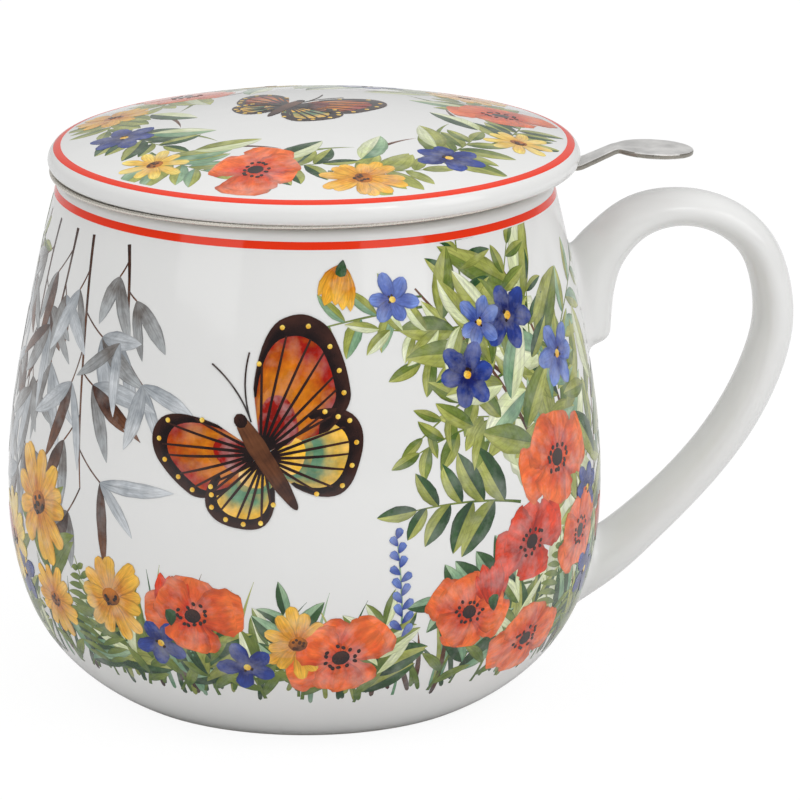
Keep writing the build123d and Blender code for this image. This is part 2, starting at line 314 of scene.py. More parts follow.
def mug_outline():
    """Section of the mug from under its floor, over the rim, to the floor inside."""
    recess_edge = FOOT_RADIUS - FOOT_RING_WIDTH
    recess = (recess_edge - FOOT_RECESS_DRAFT, FOOT_RECESS_DEPTH)
    outside = OUTER(np.linspace(OUTSIDE_START, 1, 170))[0]
    foot = [(x, FOOT_RECESS_DEPTH) for x in (0, 6, 12, 18, 23)]
    foot += rounded(foot[-1], recess, (recess_edge, 0), FOOT_RECESS_ROUND).tolist()
    foot += rounded(recess, (recess_edge, 0), (FOOT_RADIUS, 0), FOOT_INNER_ROUND).tolist()
    foot += [(FOOT_STANDS_ON, 0)]
    foot += rounded((recess_edge, 0), (FOOT_RADIUS, 0), outside[0], FOOT_ROUND).tolist()
    crown_middle = (RIM_MID_RADIUS, RIM_HEIGHT - WALL / 2)
    crown = arc(crown_middle, WALL / 2, RIM_LEAN, 180 + RIM_LEAN, 30)[1:-1]
    places, slopes = OUTER(INNER_STATIONS)
    slopes = unit(slopes)
    behind = places + np.stack([-slopes[:, 1], slopes[:, 0]], 1) * WALL
    inner = spline([(FLOOR_FLAT_RADIUS, FLOOR_TOP), *behind, crown_end(-1)],
                   (direction(0), direction(90 + RIM_LEAN)))
    inside = inner(np.linspace(1, 0, 130))[0]
    floor = [(x, FLOOR_TOP) for x in (20, 15, 10, 5, 0)]
    outline = np.array([*foot, *outside, *crown, *inside, *floor])
    unglazed = [int(hypot(x - FOOT_STANDS_ON, z) < UNGLAZED_REACH) for x, z in outline]
    return outline, unglazed


def dome_sizes():
    """Height of the centre of the lid's dome, and its radius."""
    run, rise = direction(LID_DOME_EDGE_SLOPE)
    radius = (LID_RADIUS - LID_EDGE_ROUND * (1 - rise)) / rise
    return LID_LOWER_ROUND + LID_EDGE_ROUND * run - radius * run, radius


DOME_CENTRE, DOME_RADIUS = dome_sizes()
DOME_EDGE = 90 - LID_DOME_EDGE_SLOPE   # where the dome's arc starts, in degrees


def lid_edge(count):
    """The lid's edge from the widest circle up to the dome."""
    centre = (LID_RADIUS - LID_EDGE_ROUND, LID_LOWER_ROUND)
    return arc(centre, LID_EDGE_ROUND, 0, DOME_EDGE, count)


def lid_outline():
    """Section of the lid from the middle of its underside round to the top."""
    under_radius = DOME_RADIUS - LID_THICKNESS
    inner, outer, low = LID_SKIRT_RADIUS - LID_SKIRT_WALL, LID_SKIRT_RADIUS, -LID_SKIRT_DEPTH
    turn = degrees(asin(inner / under_radius))
    under = arc((0, DOME_CENTRE), under_radius, 90, 90 - turn, 36)
    root = rounded(under[-4], under[-1], (inner, low), LID_SKIRT_INNER_ROOT)
    inside = rounded((inner, 0), (inner, low), (outer, low), LID_SKIRT_ROUND, 9)
    outside = rounded((inner, low), (outer, low), (outer, 0), LID_SKIRT_ROUND, 9)
    hollow = rounded((outer, low), (outer, 0), (LID_UNDERSIDE_RADIUS, 0), LID_SKIRT_OUTER_ROOT)
    lower = arc((LID_RADIUS - LID_LOWER_ROUND, LID_LOWER_ROUND), LID_LOWER_ROUND, -90, 0, 14)
    dome = arc((0, DOME_CENTRE), DOME_RADIUS, DOME_EDGE, 90, 60)
    return np.array([*under[:-2], *root, *inside, *outside, *hollow, *lower,
                     *lid_edge(22)[1:-1], *dome])


def mug_ring_line():
    """Points and outward directions across the mug's printed ring."""
    run = np.linspace(wall_run(MUG_RING[0]), wall_run(MUG_RING[1]), 6)
    radius, height, outward, upward = wall_frame(run)
    return np.stack([radius, height], 1), np.stack([outward, upward], 1)


def lid_ring_line():
    """Points and outward directions across the lid's printed ring, from the edge inward."""
    centre = np.array([LID_RADIUS - LID_EDGE_ROUND, LID_LOWER_ROUND])
    edge = lid_edge(80)
    edge = edge[edge[:, 0] < LID_RING[0]]
    dome = arc((0, DOME_CENTRE), DOME_RADIUS, DOME_EDGE, DOME_EDGE + 3, 40)
    dome = dome[dome[:, 0] > LID_RING[1]]
    facing = np.concatenate([edge - centre, dome[1:] - (0, DOME_CENTRE)])
    return np.concatenate([edge, dome[1:]]), unit(facing)


def band(points, facing):
    """Section of a thin band that lies on a surface, partly sunk into it."""
    return np.concatenate([points + RING_LIFT * facing, (points - RING_SUNK * facing)[::-1]])


# ---------------------------------------------------------------- handle

HANDLE = spline([(wall_radius(height) + away, height, thickness / 2, width / 2)
                 for away, height, thickness, width in HANDLE_STATIONS])


def nearest_on_strand(x, z):
    """Nearest shares of the strand's middle line to points in its plane."""
    shares = np.linspace(0, 1, 500)
    strand = HANDLE(shares)[0]
    nearest = np.concatenate([
        np.argmin((px[:, None] - strand[:, 0]) ** 2 + (pz[:, None] - strand[:, 1]) ** 2, 1)
        for px, pz in zip(np.array_split(x, 12), np.array_split(z, 12))])
    found = shares[nearest]
    length = np.hypot(*np.diff(strand[:, :2], axis=0).T).sum()
    for _ in range(3):
        place, slope = HANDLE(found)
        ahead = (x - place[:, 0]) * slope[:, 0] + (z - place[:, 1]) * slope[:, 1]
        found = np.clip(found + ahead / (slope[:, 0] ** 2 + slope[:, 1] ** 2) / length, 0, 1)
    return found


def handle_field(x, y, z):
    """Signed distances from points to the oval strand blended into the wall, and to the piece.

    x and z share a shape, and y is stretched over it.
    """
    strand, slopes = HANDLE(nearest_on_strand(x.ravel(), z.ravel()))
    slopes = unit(slopes[:, :2])
    off_x, off_z = x.ravel() - strand[:, 0], z.ravel() - strand[:, 1]
    beyond = (off_x * slopes[:, 0] + off_z * slopes[:, 1]).reshape(x.shape) / HANDLE_END_ROUND
    across = (off_z * slopes[:, 0] - off_x * slopes[:, 1]).reshape(x.shape)
    half_thick, half_wide = (strand[:, k].reshape(x.shape) for k in (2, 3))
    ratio = np.sqrt((across / half_thick) ** 2 + (y / half_wide) ** 2 + beyond ** 2) + 1e-9
    steep = np.sqrt((across / half_thick ** 2) ** 2 + (y / half_wide ** 2) ** 2
                    + (beyond / HANDLE_END_ROUND) ** 2) + 1e-9
    strand_away = ratio * (ratio - 1) / steep
    slope = (wall_radius(z + 0.05) - wall_radius(z - 0.05)) / 0.1
    wall_away = (np.hypot(x, y) - wall_radius(z)) / np.sqrt(1 + slope ** 2)
    mix = np.clip(0.5 + (wall_away - strand_away) / (2 * HANDLE_BLEND), 0, 1)
    blended = wall_away + mix * (strand_away - wall_away) - HANDLE_BLEND * mix * (1 - mix)
    dive = 1.5 + (strand_away - HANDLE_BLEND) / HANDLE_DIVE_WIDTH
    blended += HANDLE_DIVE * np.clip(dive, 0, 1.5) ** 2
    edge = np.maximum(-(wall_away + HANDLE_SUNK), strand_away - HANDLE_BLEND)
    return blended, np.maximum(blended, edge)


def zero_surface(field, low, high, step):
    """Vertices and quads of the surface on which a field of x, y and z is zero."""
    axes = [np.arange(a, b + step, step) for a, b in zip(low, high)]
    values = field(*np.meshgrid(*axes, indexing="ij"))
    shape = tuple(n - 1 for n in values.shape)
    total, count = np.zeros(shape + (3,)), np.zeros(shape)
    quads = []
    for axis in range(3):
        near, far = neighbours(values, axis)
        crossing = (near < 0) != (far < 0)
        edges = np.argwhere(crossing)
        points = edges.astype(float)
        points[:, axis] += near[crossing] / (near[crossing] - far[crossing])
        second, third = (axis + 1) % 3, (axis + 2) % 3
        cells = []
        for shift in ((-1, -1), (0, -1), (0, 0), (-1, 0)):
            cell = edges.copy()
            cell[:, second] += shift[0]
            cell[:, third] += shift[1]
            np.add.at(total, tuple(cell.T), points)
            np.add.at(count, tuple(cell.T), 1)
            cells.append(np.ravel_multi_index(cell.T, shape))
        loop = np.stack(cells, 1)
        leaving = near[crossing] < 0
        quads.append(np.where(leaving[:, None], loop, loop[:, ::-1]))
    used = count > 0
    number = np.cumsum(used.ravel()) - 1
    vertices = np.array(low) + step * total[used] / count[used][:, None]
    return vertices, number[np.concatenate(quads)]


def slope_of(distance, points):
    """Direction in which a distance grows, at points."""
    steps = np.eye(3) * HANDLE_SLOPE_REACH
    grown = [distance(*(points + step).T) - distance(*(points - step).T) for step in steps]
    slope = np.stack(grown, 1)
    return slope / np.maximum(np.linalg.norm(slope, axis=1, keepdims=True), 1e-12)


def make_handle(material):
    """Looped handle whose ends run into the wall in hollow fillets."""
    def grid_field(x, y, z):
        """The piece's distance on a grid, whose layers in y share x and z."""
        return handle_field(x[:, :1, :], y, z[:, :1, :])[1]

    def blended(x, y, z):
        """Distance to the strand and the wall."""
        return handle_field(x, y, z)[0]

    low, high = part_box("mug_handle")
    low = np.array(low) / MM - HANDLE_MARGINS[0]
    high = np.array(high) / MM + HANDLE_MARGINS[1]
    vertices, quads = zero_surface(grid_field, low, high, HANDLE_GRID)
    both, whole = handle_field(*vertices.T)
    outside = whole - both < 0.3   # the rest is the foot inside the wall
    for _ in range(3):
        away = np.clip(blended(*vertices[outside].T), -0.2, 0.2)
        vertices[outside] -= away[:, None] * slope_of(blended, vertices[outside])
    normals = slope_of(blended, vertices)
    return add_mesh("handle_strand", vertices, quads.tolist(), [material], normals=normals)


# ---------------------------------------------------------------- finger tab

def tab_middle():
    """Middle line of the bent strip, and where its paddle starts and ends."""
    leg = COLLAR_RADIUS + SHEET_FIT + TAB_THICKNESS / 2
    level = -SHEET_FIT - TAB_THICKNESS / 2
    corner = np.array([LID_RADIUS + TAB_RISE_START, level])
    neck = corner + direction(TAB_RISE_ANGLE) * TAB_RISE_LENGTH
    tip = neck + direction(-TAB_PADDLE_DROOP) * TAB_PADDLE_LENGTH
    line = [(leg, -TAB_LEG_LENGTH)]
    line += rounded(line[0], (leg, level), corner, TAB_LEG_BEND, 14).tolist()
    line += rounded((leg, level), corner, neck, TAB_BEND, 12).tolist()
    line += rounded(corner, neck, tip, TAB_BEND, 12).tolist()
    line += [tip]
    return np.array(line), neck[0], tip[0]


def make_tab(material, edge_material):
    """Tumbled strip with rounded edges that widens into a paddle."""
    line, neck, tip = tab_middle()
    run = run_along(line)
    at = run[-1] * np.concatenate([np.linspace(0, 0.02, 6, endpoint=False),
                                   np.linspace(0.02, 0.62, 80, endpoint=False),
                                   0.62 + 0.38 * np.sin(np.linspace(0, pi / 2, 70))])
    x, z = between(at, run, line).T
    along = unit(between(at + TAB_SLOPE_REACH, run, line)
                 - between(at - TAB_SLOPE_REACH, run, line))
    centre, half = (neck + tip) / 2, (tip - neck) / 2
    share = np.clip((x - centre) / half, -1, 1)
    paddle = np.sqrt(1 - share ** 2) * TAB_PADDLE_WIDTH / 2
    strip = np.interp(x, [LID_RADIUS + TAB_RISE_START, neck],
                      [TAB_STRIP_WIDTH / 2, TAB_NECK_WIDTH / 2]) * (x < centre)
    width = np.maximum((strip ** 5 + paddle ** 5) ** 0.2, TAB_TIP_WIDTH / 2)[:, None]
    across = np.sin(np.linspace(-pi / 2, pi / 2, 27)) * width
    oval = np.hypot(share[:, None], across / (TAB_PADDLE_WIDTH / 2)) + 1e-6
    oval_steep = np.hypot(share[:, None] / half, across / (TAB_PADDLE_WIDTH / 2) ** 2) / oval
    from_edge = np.where(x[:, None] < centre, width - np.abs(across), (1 - oval) / oval_steep)
    from_edge = np.minimum(from_edge, at[:, None])
    round_left = np.clip(TAB_EDGE_ROUND - from_edge, 0, TAB_EDGE_ROUND)
    lift = TAB_THICKNESS / 2 - TAB_EDGE_ROUND + np.sqrt(TAB_EDGE_ROUND ** 2 - round_left ** 2)
    sides = [np.stack([x[:, None] - side * along[:, 1:] * lift, across,
                       z[:, None] + side * along[:, :1] * lift], 2).reshape(-1, 3)
             for side in (1, -1)]
    grid = np.arange(lift.size).reshape(lift.shape)
    under = grid + lift.size
    quads = [np.stack([grid[:-1, :-1], grid[1:, :-1], grid[1:, 1:], grid[:-1, 1:]], -1),
             np.stack([under[:-1, :-1], under[:-1, 1:], under[1:, 1:], under[1:, :-1]], -1)]
    rim = np.concatenate([grid[:, 0], grid[-1, 1:], grid[-2::-1, -1], grid[0, -2:0:-1]])
    rim_next = np.roll(rim, -1)
    quads.append(np.stack([rim, rim + lift.size, rim_next + lift.size, rim_next], -1))
    faces = np.concatenate([q.reshape(-1, 4) for q in quads]).tolist()
    vertices = moved(np.concatenate(sides), INFUSER_SEAT)
    made = add_mesh("finger_tab", vertices, faces, [material, edge_material], sharp=60)
    # Sideways faces of the strip beyond the lid take the darker steel: painted shade on its edge.
    edges = [int(abs(face.normal.z) < TAB_SHADED_EDGE_SLOPE and face.center.x > TAB_SHADED_EDGE_START * MM)
             for face in made.data.polygons]
    made.data.polygons.foreach_set("material_index", edges)
    return made


# ---------------------------------------------------------------- painted strokes

PRINT_LIFT = 0.006           # height of the lowest strokes above the glaze
PRINT_LAYER = 0.0022         # what each further layer adds
PRINT_SUNK = 0.04            # how far a stroke's sides reach into the glaze
PRINT_STEP = 0.62            # usual spacing of a stroke's vertices
PRINT_CELL = 0.3             # cell of the raster in which layers are counted
PRINT_RASTER = (1400, 700)
PRINT_RASTER_BASE = 200
PRINT_LAYERS = 62            # highest layer that is counted in the raster's 64 bits
PRINT_SQUEEZE = 0.01         # share that is left of what reaches beyond the print's limits
PRINT_THINNEST = 0.03
WASH_SHARE = 0.25            # how much of the paint's thin spots most strokes show
PETAL_RAYS = 0.6
RAGGED = 0.06                # how much a stroke's width wavers
TWIG_HEIGHT = 80.5
FRONT = -99.0                # degrees about the mug's axis of the side that faces the camera
MUG_PRINT = (8.4, 82.0)      # lowest and highest printed height
# What lies over what: pale washes are lowest.
WASH, STEMS, LEAVES, BACK_PETALS, PETALS, HEARTS, LINES, DOTS = range(8)
LID_PRINT_RADIUS = 40.1


def ink_pair(*numbers):
    """Two linear colours from their red, green and blue on the usual 0 to 255 scale."""
    parts = np.reshape(numbers, (2, 3)) / 255
    return tuple(np.where(parts <= 0.04045, parts / 12.92, ((parts + 0.055) / 1.055) ** 2.4))


def on_mug(anchor, points):
    """Places and outward directions of a plan in millimetres on the mug's wall."""
    degrees_round, height = anchor
    low, high = wall_run(MUG_PRINT[0]), wall_run(MUG_PRINT[1])
    run = wall_run(height) + points[..., 1]
    run = np.where(run > high, high + PRINT_SQUEEZE * (run - high), run)
    run = np.where(run < low, low + PRINT_SQUEEZE * (run - low), run)
    radius, level, outward, upward = wall_frame(run)
    turn = radians(FRONT + degrees_round) + points[..., 0] / radius
    normal = np.stack([outward * np.cos(turn), outward * np.sin(turn), upward], -1)
    place = np.stack([radius * np.cos(turn), radius * np.sin(turn), level], -1)
    return place, normal, np.stack([turn * BELLY[0], run], -1)


def on_lid(anchor, points):
    """Places and outward directions of a plan in millimetres on the lid's dome."""
    plan = points + np.array(anchor)
    out = np.linalg.norm(plan, axis=-1, keepdims=True) + 1e-9
    kept = np.where(out > LID_PRINT_RADIUS,
                    LID_PRINT_RADIUS + PRINT_SQUEEZE * (out - LID_PRINT_RADIUS), out)
    plan = plan * kept / out
    level = np.sqrt(DOME_RADIUS ** 2 - kept ** 2)
    normal = np.concatenate([plan, level], -1) / DOME_RADIUS
    place = np.concatenate([plan, level + DOME_CENTRE], -1)
    matrix = np.array(LID_SEAT)
    return moved(place, LID_SEAT), normal @ matrix[:3, :3].T, plan


def finer(grid, axis, spacing):
    """Grid of plan points with more of them along an axis."""
    longest = np.linalg.norm(np.diff(grid, axis=axis), axis=-1).max()
    count = int(longest / spacing) + 1
    near, far = neighbours(grid, axis)
    return np.concatenate([near + (far - near) * share for share in np.linspace(0, 1, count + 1)],
                          axis)


Stroke = namedtuple("Stroke", "level piece cells place normal sides inks vein wash seed")
STENCIL = np.array([(x, y) for x in range(-1, 2) for y in range(-1, 2)])


def shell(stroke, lift):
    """Thin closed shell of a stroke: its faces, and its points with their values.

    Each row of points gets two more under its edges, and each end of the stroke gets one.
    """
    columns = stroke.place.shape[1]
    sides, ends = [-1, 0], ([0, -1], columns // 2)
    normal = np.concatenate([stroke.normal, stroke.normal[:, sides]], 1)
    low = stroke.place[:, sides] - PRINT_SUNK * stroke.normal[:, sides]
    rings = np.concatenate([stroke.place + lift * stroke.normal, low], 1)
    tips = stroke.place[ends] - PRINT_SUNK * stroke.normal[ends]
    points = np.concatenate([rings.reshape(-1, 3), tips])
    normals = np.concatenate([normal.reshape(-1, 3), stroke.normal[ends]])

    grid = np.arange(len(points) - 2).reshape(len(rings), -1)
    nearby = np.roll(grid, -1, axis=1)
    faces = np.stack([grid[:-1], nearby[:-1], nearby[1:], grid[1:]], -1).reshape(-1, 4).tolist()
    faces += [(b, a, grid.size) for a, b in zip(grid[0].tolist(), nearby[0].tolist())]
    faces += [(a, b, grid.size + 1) for a, b in zip(grid[-1].tolist(), nearby[-1].tolist())]

    across = [*np.linspace(*stroke.sides, columns), stroke.sides[1], stroke.sides[0]]
    along = np.repeat(shares_of(len(rings)), len(across))
    marks = np.stack([along, np.tile(across, len(rings)), np.full(grid.size, stroke.seed)], 1)
    marks = np.concatenate([marks, [[0, 0, stroke.seed], [1, 0, stroke.seed]]])
    inks = [np.tile([*ink, extra], (len(points), 1))
            for ink, extra in zip(stroke.inks, (stroke.vein, stroke.wash))]
    return faces, points, normals, marks, *inks


class Canvas:
    """Strokes on one surface, gathered into pieces, with thin layers where they overlap."""

    def __init__(self, lay):
        self.lay = lay
        self.strokes = []

    def patch(self, level, piece, anchor, plan, *look):
        """Add a grid of plan points, from its start to its end."""
        place, normal, cells = self.lay(anchor, plan)
        cells = finer(finer(cells, 0, PRINT_CELL), 1, PRINT_CELL).reshape(-1, 2)
        cells = np.unique(np.round(cells / PRINT_CELL).astype(int), axis=0)
        cells = np.unique((cells[:, None] + STENCIL).reshape(-1, 2), axis=0)
        self.strokes.append(Stroke(level, piece, cells, place, normal, *look))

    def layered(self):
        """Strokes from low to high, each with its lift: the lowest that is free where it lies."""
        base = top = 0
        taken, level = np.zeros(PRINT_RASTER, np.uint64), None
        for stroke in sorted(self.strokes, key=lambda stroke: stroke.level):
            if stroke.level != level:
                level, base = stroke.level, top
                taken[:] = 0
            x = stroke.cells[:, 0] % PRINT_RASTER[0]
            y = (stroke.cells[:, 1] + PRINT_RASTER_BASE) % PRINT_RASTER[1]
            used = int(np.bitwise_or.reduce(taken[x, y]))
            layer = min((~used & (used + 1)).bit_length() - 1, PRINT_LAYERS)
            taken[x, y] |= np.uint64(1 << layer)
            top = max(top, base + layer + 1)
            yield stroke, PRINT_LIFT + PRINT_LAYER * (base + layer)

    def build(self, body, material):
        """Make the pieces, each stroke a thin closed shell, and let them ride on a body."""
        pieces = {}
        for stroke, lift in self.layered():
            pieces.setdefault(stroke.piece, []).append(shell(stroke, lift))
        for piece, shells in pieces.items():
            strokes_faces, *values = zip(*shells)
            points, normals, marks, *inks = (np.concatenate(value) for value in values)
            starts = np.cumsum([0] + [len(places) for places in values[0]]).tolist()
            faces = [[corner + start for corner in face]
                     for start, stroke_faces in zip(starts, strokes_faces)
                     for face in stroke_faces]
            made = add_mesh(piece, points, faces, [material], normals=normals)
            attribute = made.data.attributes.new("stroke", "FLOAT_VECTOR", "POINT")
            attribute.data.foreach_set("vector", marks.ravel())
            for name, colours in zip(("ink_start", "ink_end"), inks):
                attribute = made.data.attributes.new(name, "FLOAT_COLOR", "POINT")
                attribute.data.foreach_set("color", colours.ravel())
            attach(made, body)


class Brush:
    """Place and turn of a motif on a canvas. A flip of -1 mirrors it."""

    def __init__(self, canvas, piece, anchor, chance, origin=(0, 0), turn=0, flip=1):
        self.canvas, self.piece, self.anchor, self.chance = canvas, piece, anchor, chance
        self.origin, self.turn, self.flip = np.array(origin, float), turn, flip

    def on_plan(self, points):
        """Motif points as plan points of the anchor."""
        across, up = direction(self.turn), direction(self.turn + 90)
        points = np.asarray(points, float)
        return self.origin + self.flip * points[..., :1] * across + points[..., 1:] * up

    def at(self, place, turn=0, flip=1):
        """Brush for a part of this motif."""
        return Brush(self.canvas, self.piece, self.anchor, self.chance, self.on_plan(place),
                     self.turn + self.flip * turn, self.flip * flip)

    def facing(self, turn):
        """Brush for a part that starts at this motif's origin."""
        return self.at((0, 0), turn)

    def around(self, middle, spread):
        """Random number about a middle."""
        return middle + spread * (2 * self.chance.random() - 1)

    def lay(self, plan, level, inks, vein, wash, sides=(-1, 1)):
        """Put a grid of plan points on the canvas in slightly varied inks."""
        tinted = [np.clip(i * self.around(1, 0.1), 0, 1) for i in inks]
        self.canvas.patch(level, self.piece, self.anchor, plan, sides, tinted, vein, wash,
                          self.around(50, 50))

    def ribbon(self, line, half_width, ragged):
        """Plan points of a line, its half widths and the direction to its right."""
        shares = shares_of(line)
        waves = sum(np.sin(shares * k * 3.1 + self.around(0, 3.1)) for k in (3, 5, 9)) / 3
        half_width = np.maximum(half_width * (1 + ragged * waves), PRINT_THINNEST)
        line = self.on_plan(line)
        step = np.gradient(line, axis=0)
        step /= np.linalg.norm(step, axis=1, keepdims=True) + 1e-9
        return line[:, None], half_width[:, None, None], np.stack([step[:, 1], -step[:, 0]], 1)

    def paint(self, line, half_width, level, inks, vein=0.0, wash=WASH_SHARE, ragged=RAGGED):
        """Stroke along a line of motif points."""
        line, half_width, side = self.ribbon(line, half_width, ragged)
        count = 2 * max(1, int(np.ceil(half_width.max() / PRINT_STEP))) + 1
        across = np.linspace(-1, 1, count)[:, None]
        self.lay(line + across * half_width * side[:, None], level, inks, vein, wash)

    def halves(self, line, half_width, level, inks, other_inks, vein):
        """Stroke whose two sides have inks of their own."""
        line, half_width, side = self.ribbon(line, half_width, RAGGED)
        count = max(2, int(np.ceil(half_width.max() / PRINT_STEP)) + 1)
        for sides, tints in (((-1, 0), inks), ((0, 1), other_inks)):
            across = np.linspace(*sides, count)[:, None]
            plan = line + across * half_width * side[:, None]
            self.lay(plan, level, tints, vein, WASH_SHARE, sides)

    def fan(self, reach, angles, shares, level, inks, wash=0.2):
        """Patch between two shares of a fan whose reach depends on its angle from upward."""
        angles = np.radians(90 - np.asarray(angles))
        steps = max(3, int((shares[1] - shares[0]) * max(reach) / PRINT_STEP) + 2)
        out = np.linspace(*shares, steps)[:, None] * np.asarray(reach)
        plan = self.on_plan(np.stack([out * np.cos(angles), out * np.sin(angles)], -1))
        self.lay(plan if self.flip > 0 else plan[:, ::-1], level, inks, 0.0, wash)


def shares_of(line):
    """Shares of a stroke's length at its points, which lie closer together at its ends."""
    even = np.linspace(0, 1, line if isinstance(line, int) else len(line))
    return even - 0.5 * np.sin(2 * pi * even) / (2 * pi)


def shape(line, full, start_power, end_power):
    """Half widths that swell from nothing to a full width and back."""
    u = shares_of(line)
    peak = start_power / (start_power + end_power)
    top = peak ** start_power * (1 - peak) ** end_power
    return full / 2 * u ** start_power * (1 - u) ** end_power / top


# ---------------------------------------------------------------- painted motifs

FOREST = ink_pair(22, 58, 30, 52, 92, 44)
MOSS = ink_pair(74, 100, 38, 128, 142, 62)
OLIVE = ink_pair(124, 134, 54, 178, 182, 96)
SAGE = ink_pair(92, 136, 104, 160, 188, 150)
PALE_GREEN = ink_pair(202, 212, 156, 232, 236, 206)
STONE = ink_pair(108, 102, 98, 178, 182, 184)
SILVER = ink_pair(150, 156, 162, 212, 216, 220)
BARK = ink_pair(54, 28, 20, 112, 68, 42)
NAVY = ink_pair(10, 20, 92, 40, 66, 150)
BLUE = ink_pair(30, 52, 140, 110, 136, 206)
POPPY = ink_pair(158, 16, 0, 228, 62, 12)
CORAL = ink_pair(200, 40, 4, 240, 112, 44)
GOLD = ink_pair(206, 118, 10, 246, 190, 62)
LEMON = ink_pair(230, 166, 36, 250, 222, 112)
DARK = ink_pair(24, 12, 14, 60, 34, 28)
BROWN_HEART = (BARK[1], GOLD[0])
DARK_HEART = (BARK[0], GOLD[0])


def bent(length, bend, start=(0, 0)):
    """Points along a line that starts upward and turns left by a number of degrees."""
    shares = shares_of(max(6, int(length / PRINT_STEP) + 3))
    heading = np.radians(90 + bend * shares)
    moves = np.stack([np.cos(heading), np.sin(heading)], 1) * length
    moves = (moves[1:] + moves[:-1]) / 2 * np.diff(shares)[:, None]
    return np.array(start) + np.concatenate([[[0, 0]], np.cumsum(moves, 0)])


def stem(brush, length, bend, inks, base=0.5, tip=0.18):
    """Thin stem. Gives its points and the headings, in degrees from upward, along it."""
    line = bent(length, bend)
    brush.paint(line, np.linspace(base, tip, len(line)) / 2, STEMS, inks, wash=0.15)
    return line, bend * shares_of(line)


def stem_at(grown, share):
    """Point and heading at a share of a stem."""
    line, headings = grown
    shares = shares_of(line)
    return between(share, shares, line), np.interp(share, shares, headings)


def both_sides(grown, shares):
    """Number, share, point, heading and side at shares of a stem, left and right in turn."""
    for number, share in enumerate(shares):
        place, heading = stem_at(grown, share)
        yield number, share, place, heading, 1 if number % 2 else -1


def leaf(brush, length, width, inks, bend, glow=None, vein=0.5):
    """Pointed leaf, which may have a lighter half."""
    line = bent(length, bend)
    width_along = shape(line, width, 0.75, 0.9)
    if glow and width > 1.4:
        tints = (inks, glow) if brush.chance.random() > 0.5 else (glow, inks)
        brush.halves(line, width_along, LEAVES, *tints, vein)
    else:
        brush.paint(line, width_along, LEAVES, inks, vein=vein)


def sprig(brush, length, bend, pairs, leaf_size, inks, glow, spread=48):
    """Stem with leaves on both sides that get smaller towards its tip."""
    grown = stem(brush, length, bend, MOSS)
    shares = [0.12 + 0.84 * (number / 2 + 0.3) / pairs for number in range(2 * pairs)]
    for _, share, place, heading, side in both_sides(grown, shares):
        reach = leaf_size[0] * (1.1 - 0.55 * share) * brush.around(1, 0.15)
        twig = brush.at(place, heading + side * brush.around(spread, 10), flip=side)
        leaf(twig, reach, leaf_size[1] * reach / leaf_size[0], inks, brush.around(14, 16), glow)
    leaf(brush.at(*stem_at(grown, 1)), leaf_size[0] * 0.6, leaf_size[1] * 0.55, inks, 0, glow)


def blob(brush, wide, tall, inks, level=DOTS):
    """Oval spot."""
    line = bent(tall, 0, (0, -tall / 2))
    off = 2 * shares_of(line) - 1
    brush.paint(line, wide / 2 * np.sqrt(1.01 - off ** 2), level, inks, wash=0.0)


def petal(brush, length, width, inks, bend=0.0, blunt=0.35, level=PETALS):
    """Petal from its base outward, with darker rays."""
    line = bent(length, bend)
    brush.paint(line, shape(line, width, 0.8, blunt), level, inks, -PETAL_RAYS, 0.35, 0.12)


def poppy(brush, size, inks):
    """Open flower with broad ruffled petals, a dark heart and a ring of stamens."""
    for level, count, reach in ((BACK_PETALS, 4, 0.52), (PETALS, 3, 0.44)):
        for number in range(count):
            turn = 360 / count * number + 40 * (level == PETALS) + brush.around(0, 9)
            drawn = reach * size * (0.75 + 0.25 * abs(sin(radians(turn))))
            petal(brush.facing(turn), drawn, size * 0.48, inks, brush.around(0, 14), 0.3,
                  level=level)
    blob(brush, size * 0.17, size * 0.15, DARK, HEARTS)
    for number in range(13):
        turn = radians(360 / 13 * number + brush.around(0, 9))
        reach = size * brush.around(0.15, 0.03)
        spot = brush.at((reach * cos(turn), reach * sin(turn) * 0.75), brush.around(0, 90))
        blob(spot, size * 0.035, size * 0.045, DARK)


def daisy(brush, size, inks, heart, petals=13):
    """Many narrow petals round a domed heart."""
    for number in range(petals):
        turn = 360 / petals * number + brush.around(0, 7)
        drawn = size * 0.5 * (0.8 + 0.2 * abs(cos(radians(turn)))) * brush.around(1, 0.1)
        petal(brush.facing(turn), drawn, size * 0.17, inks, brush.around(0, 16), 0.4,
              level=PETALS if number % 2 else BACK_PETALS)
    blob(brush, size * 0.24, size * 0.2, heart, HEARTS)
    for number in range(9):
        turn, reach = brush.around(0, 3.14), size * 0.085 * brush.chance.random() ** 0.5
        blob(brush.at((reach * cos(turn), reach * sin(turn) - size * 0.02)), size * 0.04,
             size * 0.04, (heart[0] * 0.4, heart[0] * 0.6))


def blossom(brush, size, inks, petals=5):
    """Small open flower with pointed petals."""
    for number in range(petals):
        turn = 360 / petals * number + brush.around(0, 10)
        petal(brush.facing(turn), size * 0.5 * brush.around(1, 0.12), size * 0.3, inks,
              brush.around(0, 18), 0.6)
    blob(brush, size * 0.13, size * 0.13, LEMON, HEARTS)
    for number in range(3):
        turn = brush.around(0, 3.14)
        blob(brush.at((size * 0.08 * cos(turn), size * 0.08 * sin(turn))), size * 0.05,
             size * 0.05, DARK)


def bell(brush, size, inks):
    """Half-closed flower seen from the side, with its calyx at the origin."""
    for turn, wide in ((32, 0.24), (-32, 0.24), (15, 0.3), (-15, 0.3), (0, 0.3)):
        petal(brush.facing(turn + brush.around(0, 5)), size * brush.around(0.75, 0.08),
              size * wide, inks, turn * -0.5, 0.8)
    petal(brush.at((0, -size * 0.08)), size * 0.3, size * 0.2, FOREST, level=HEARTS)


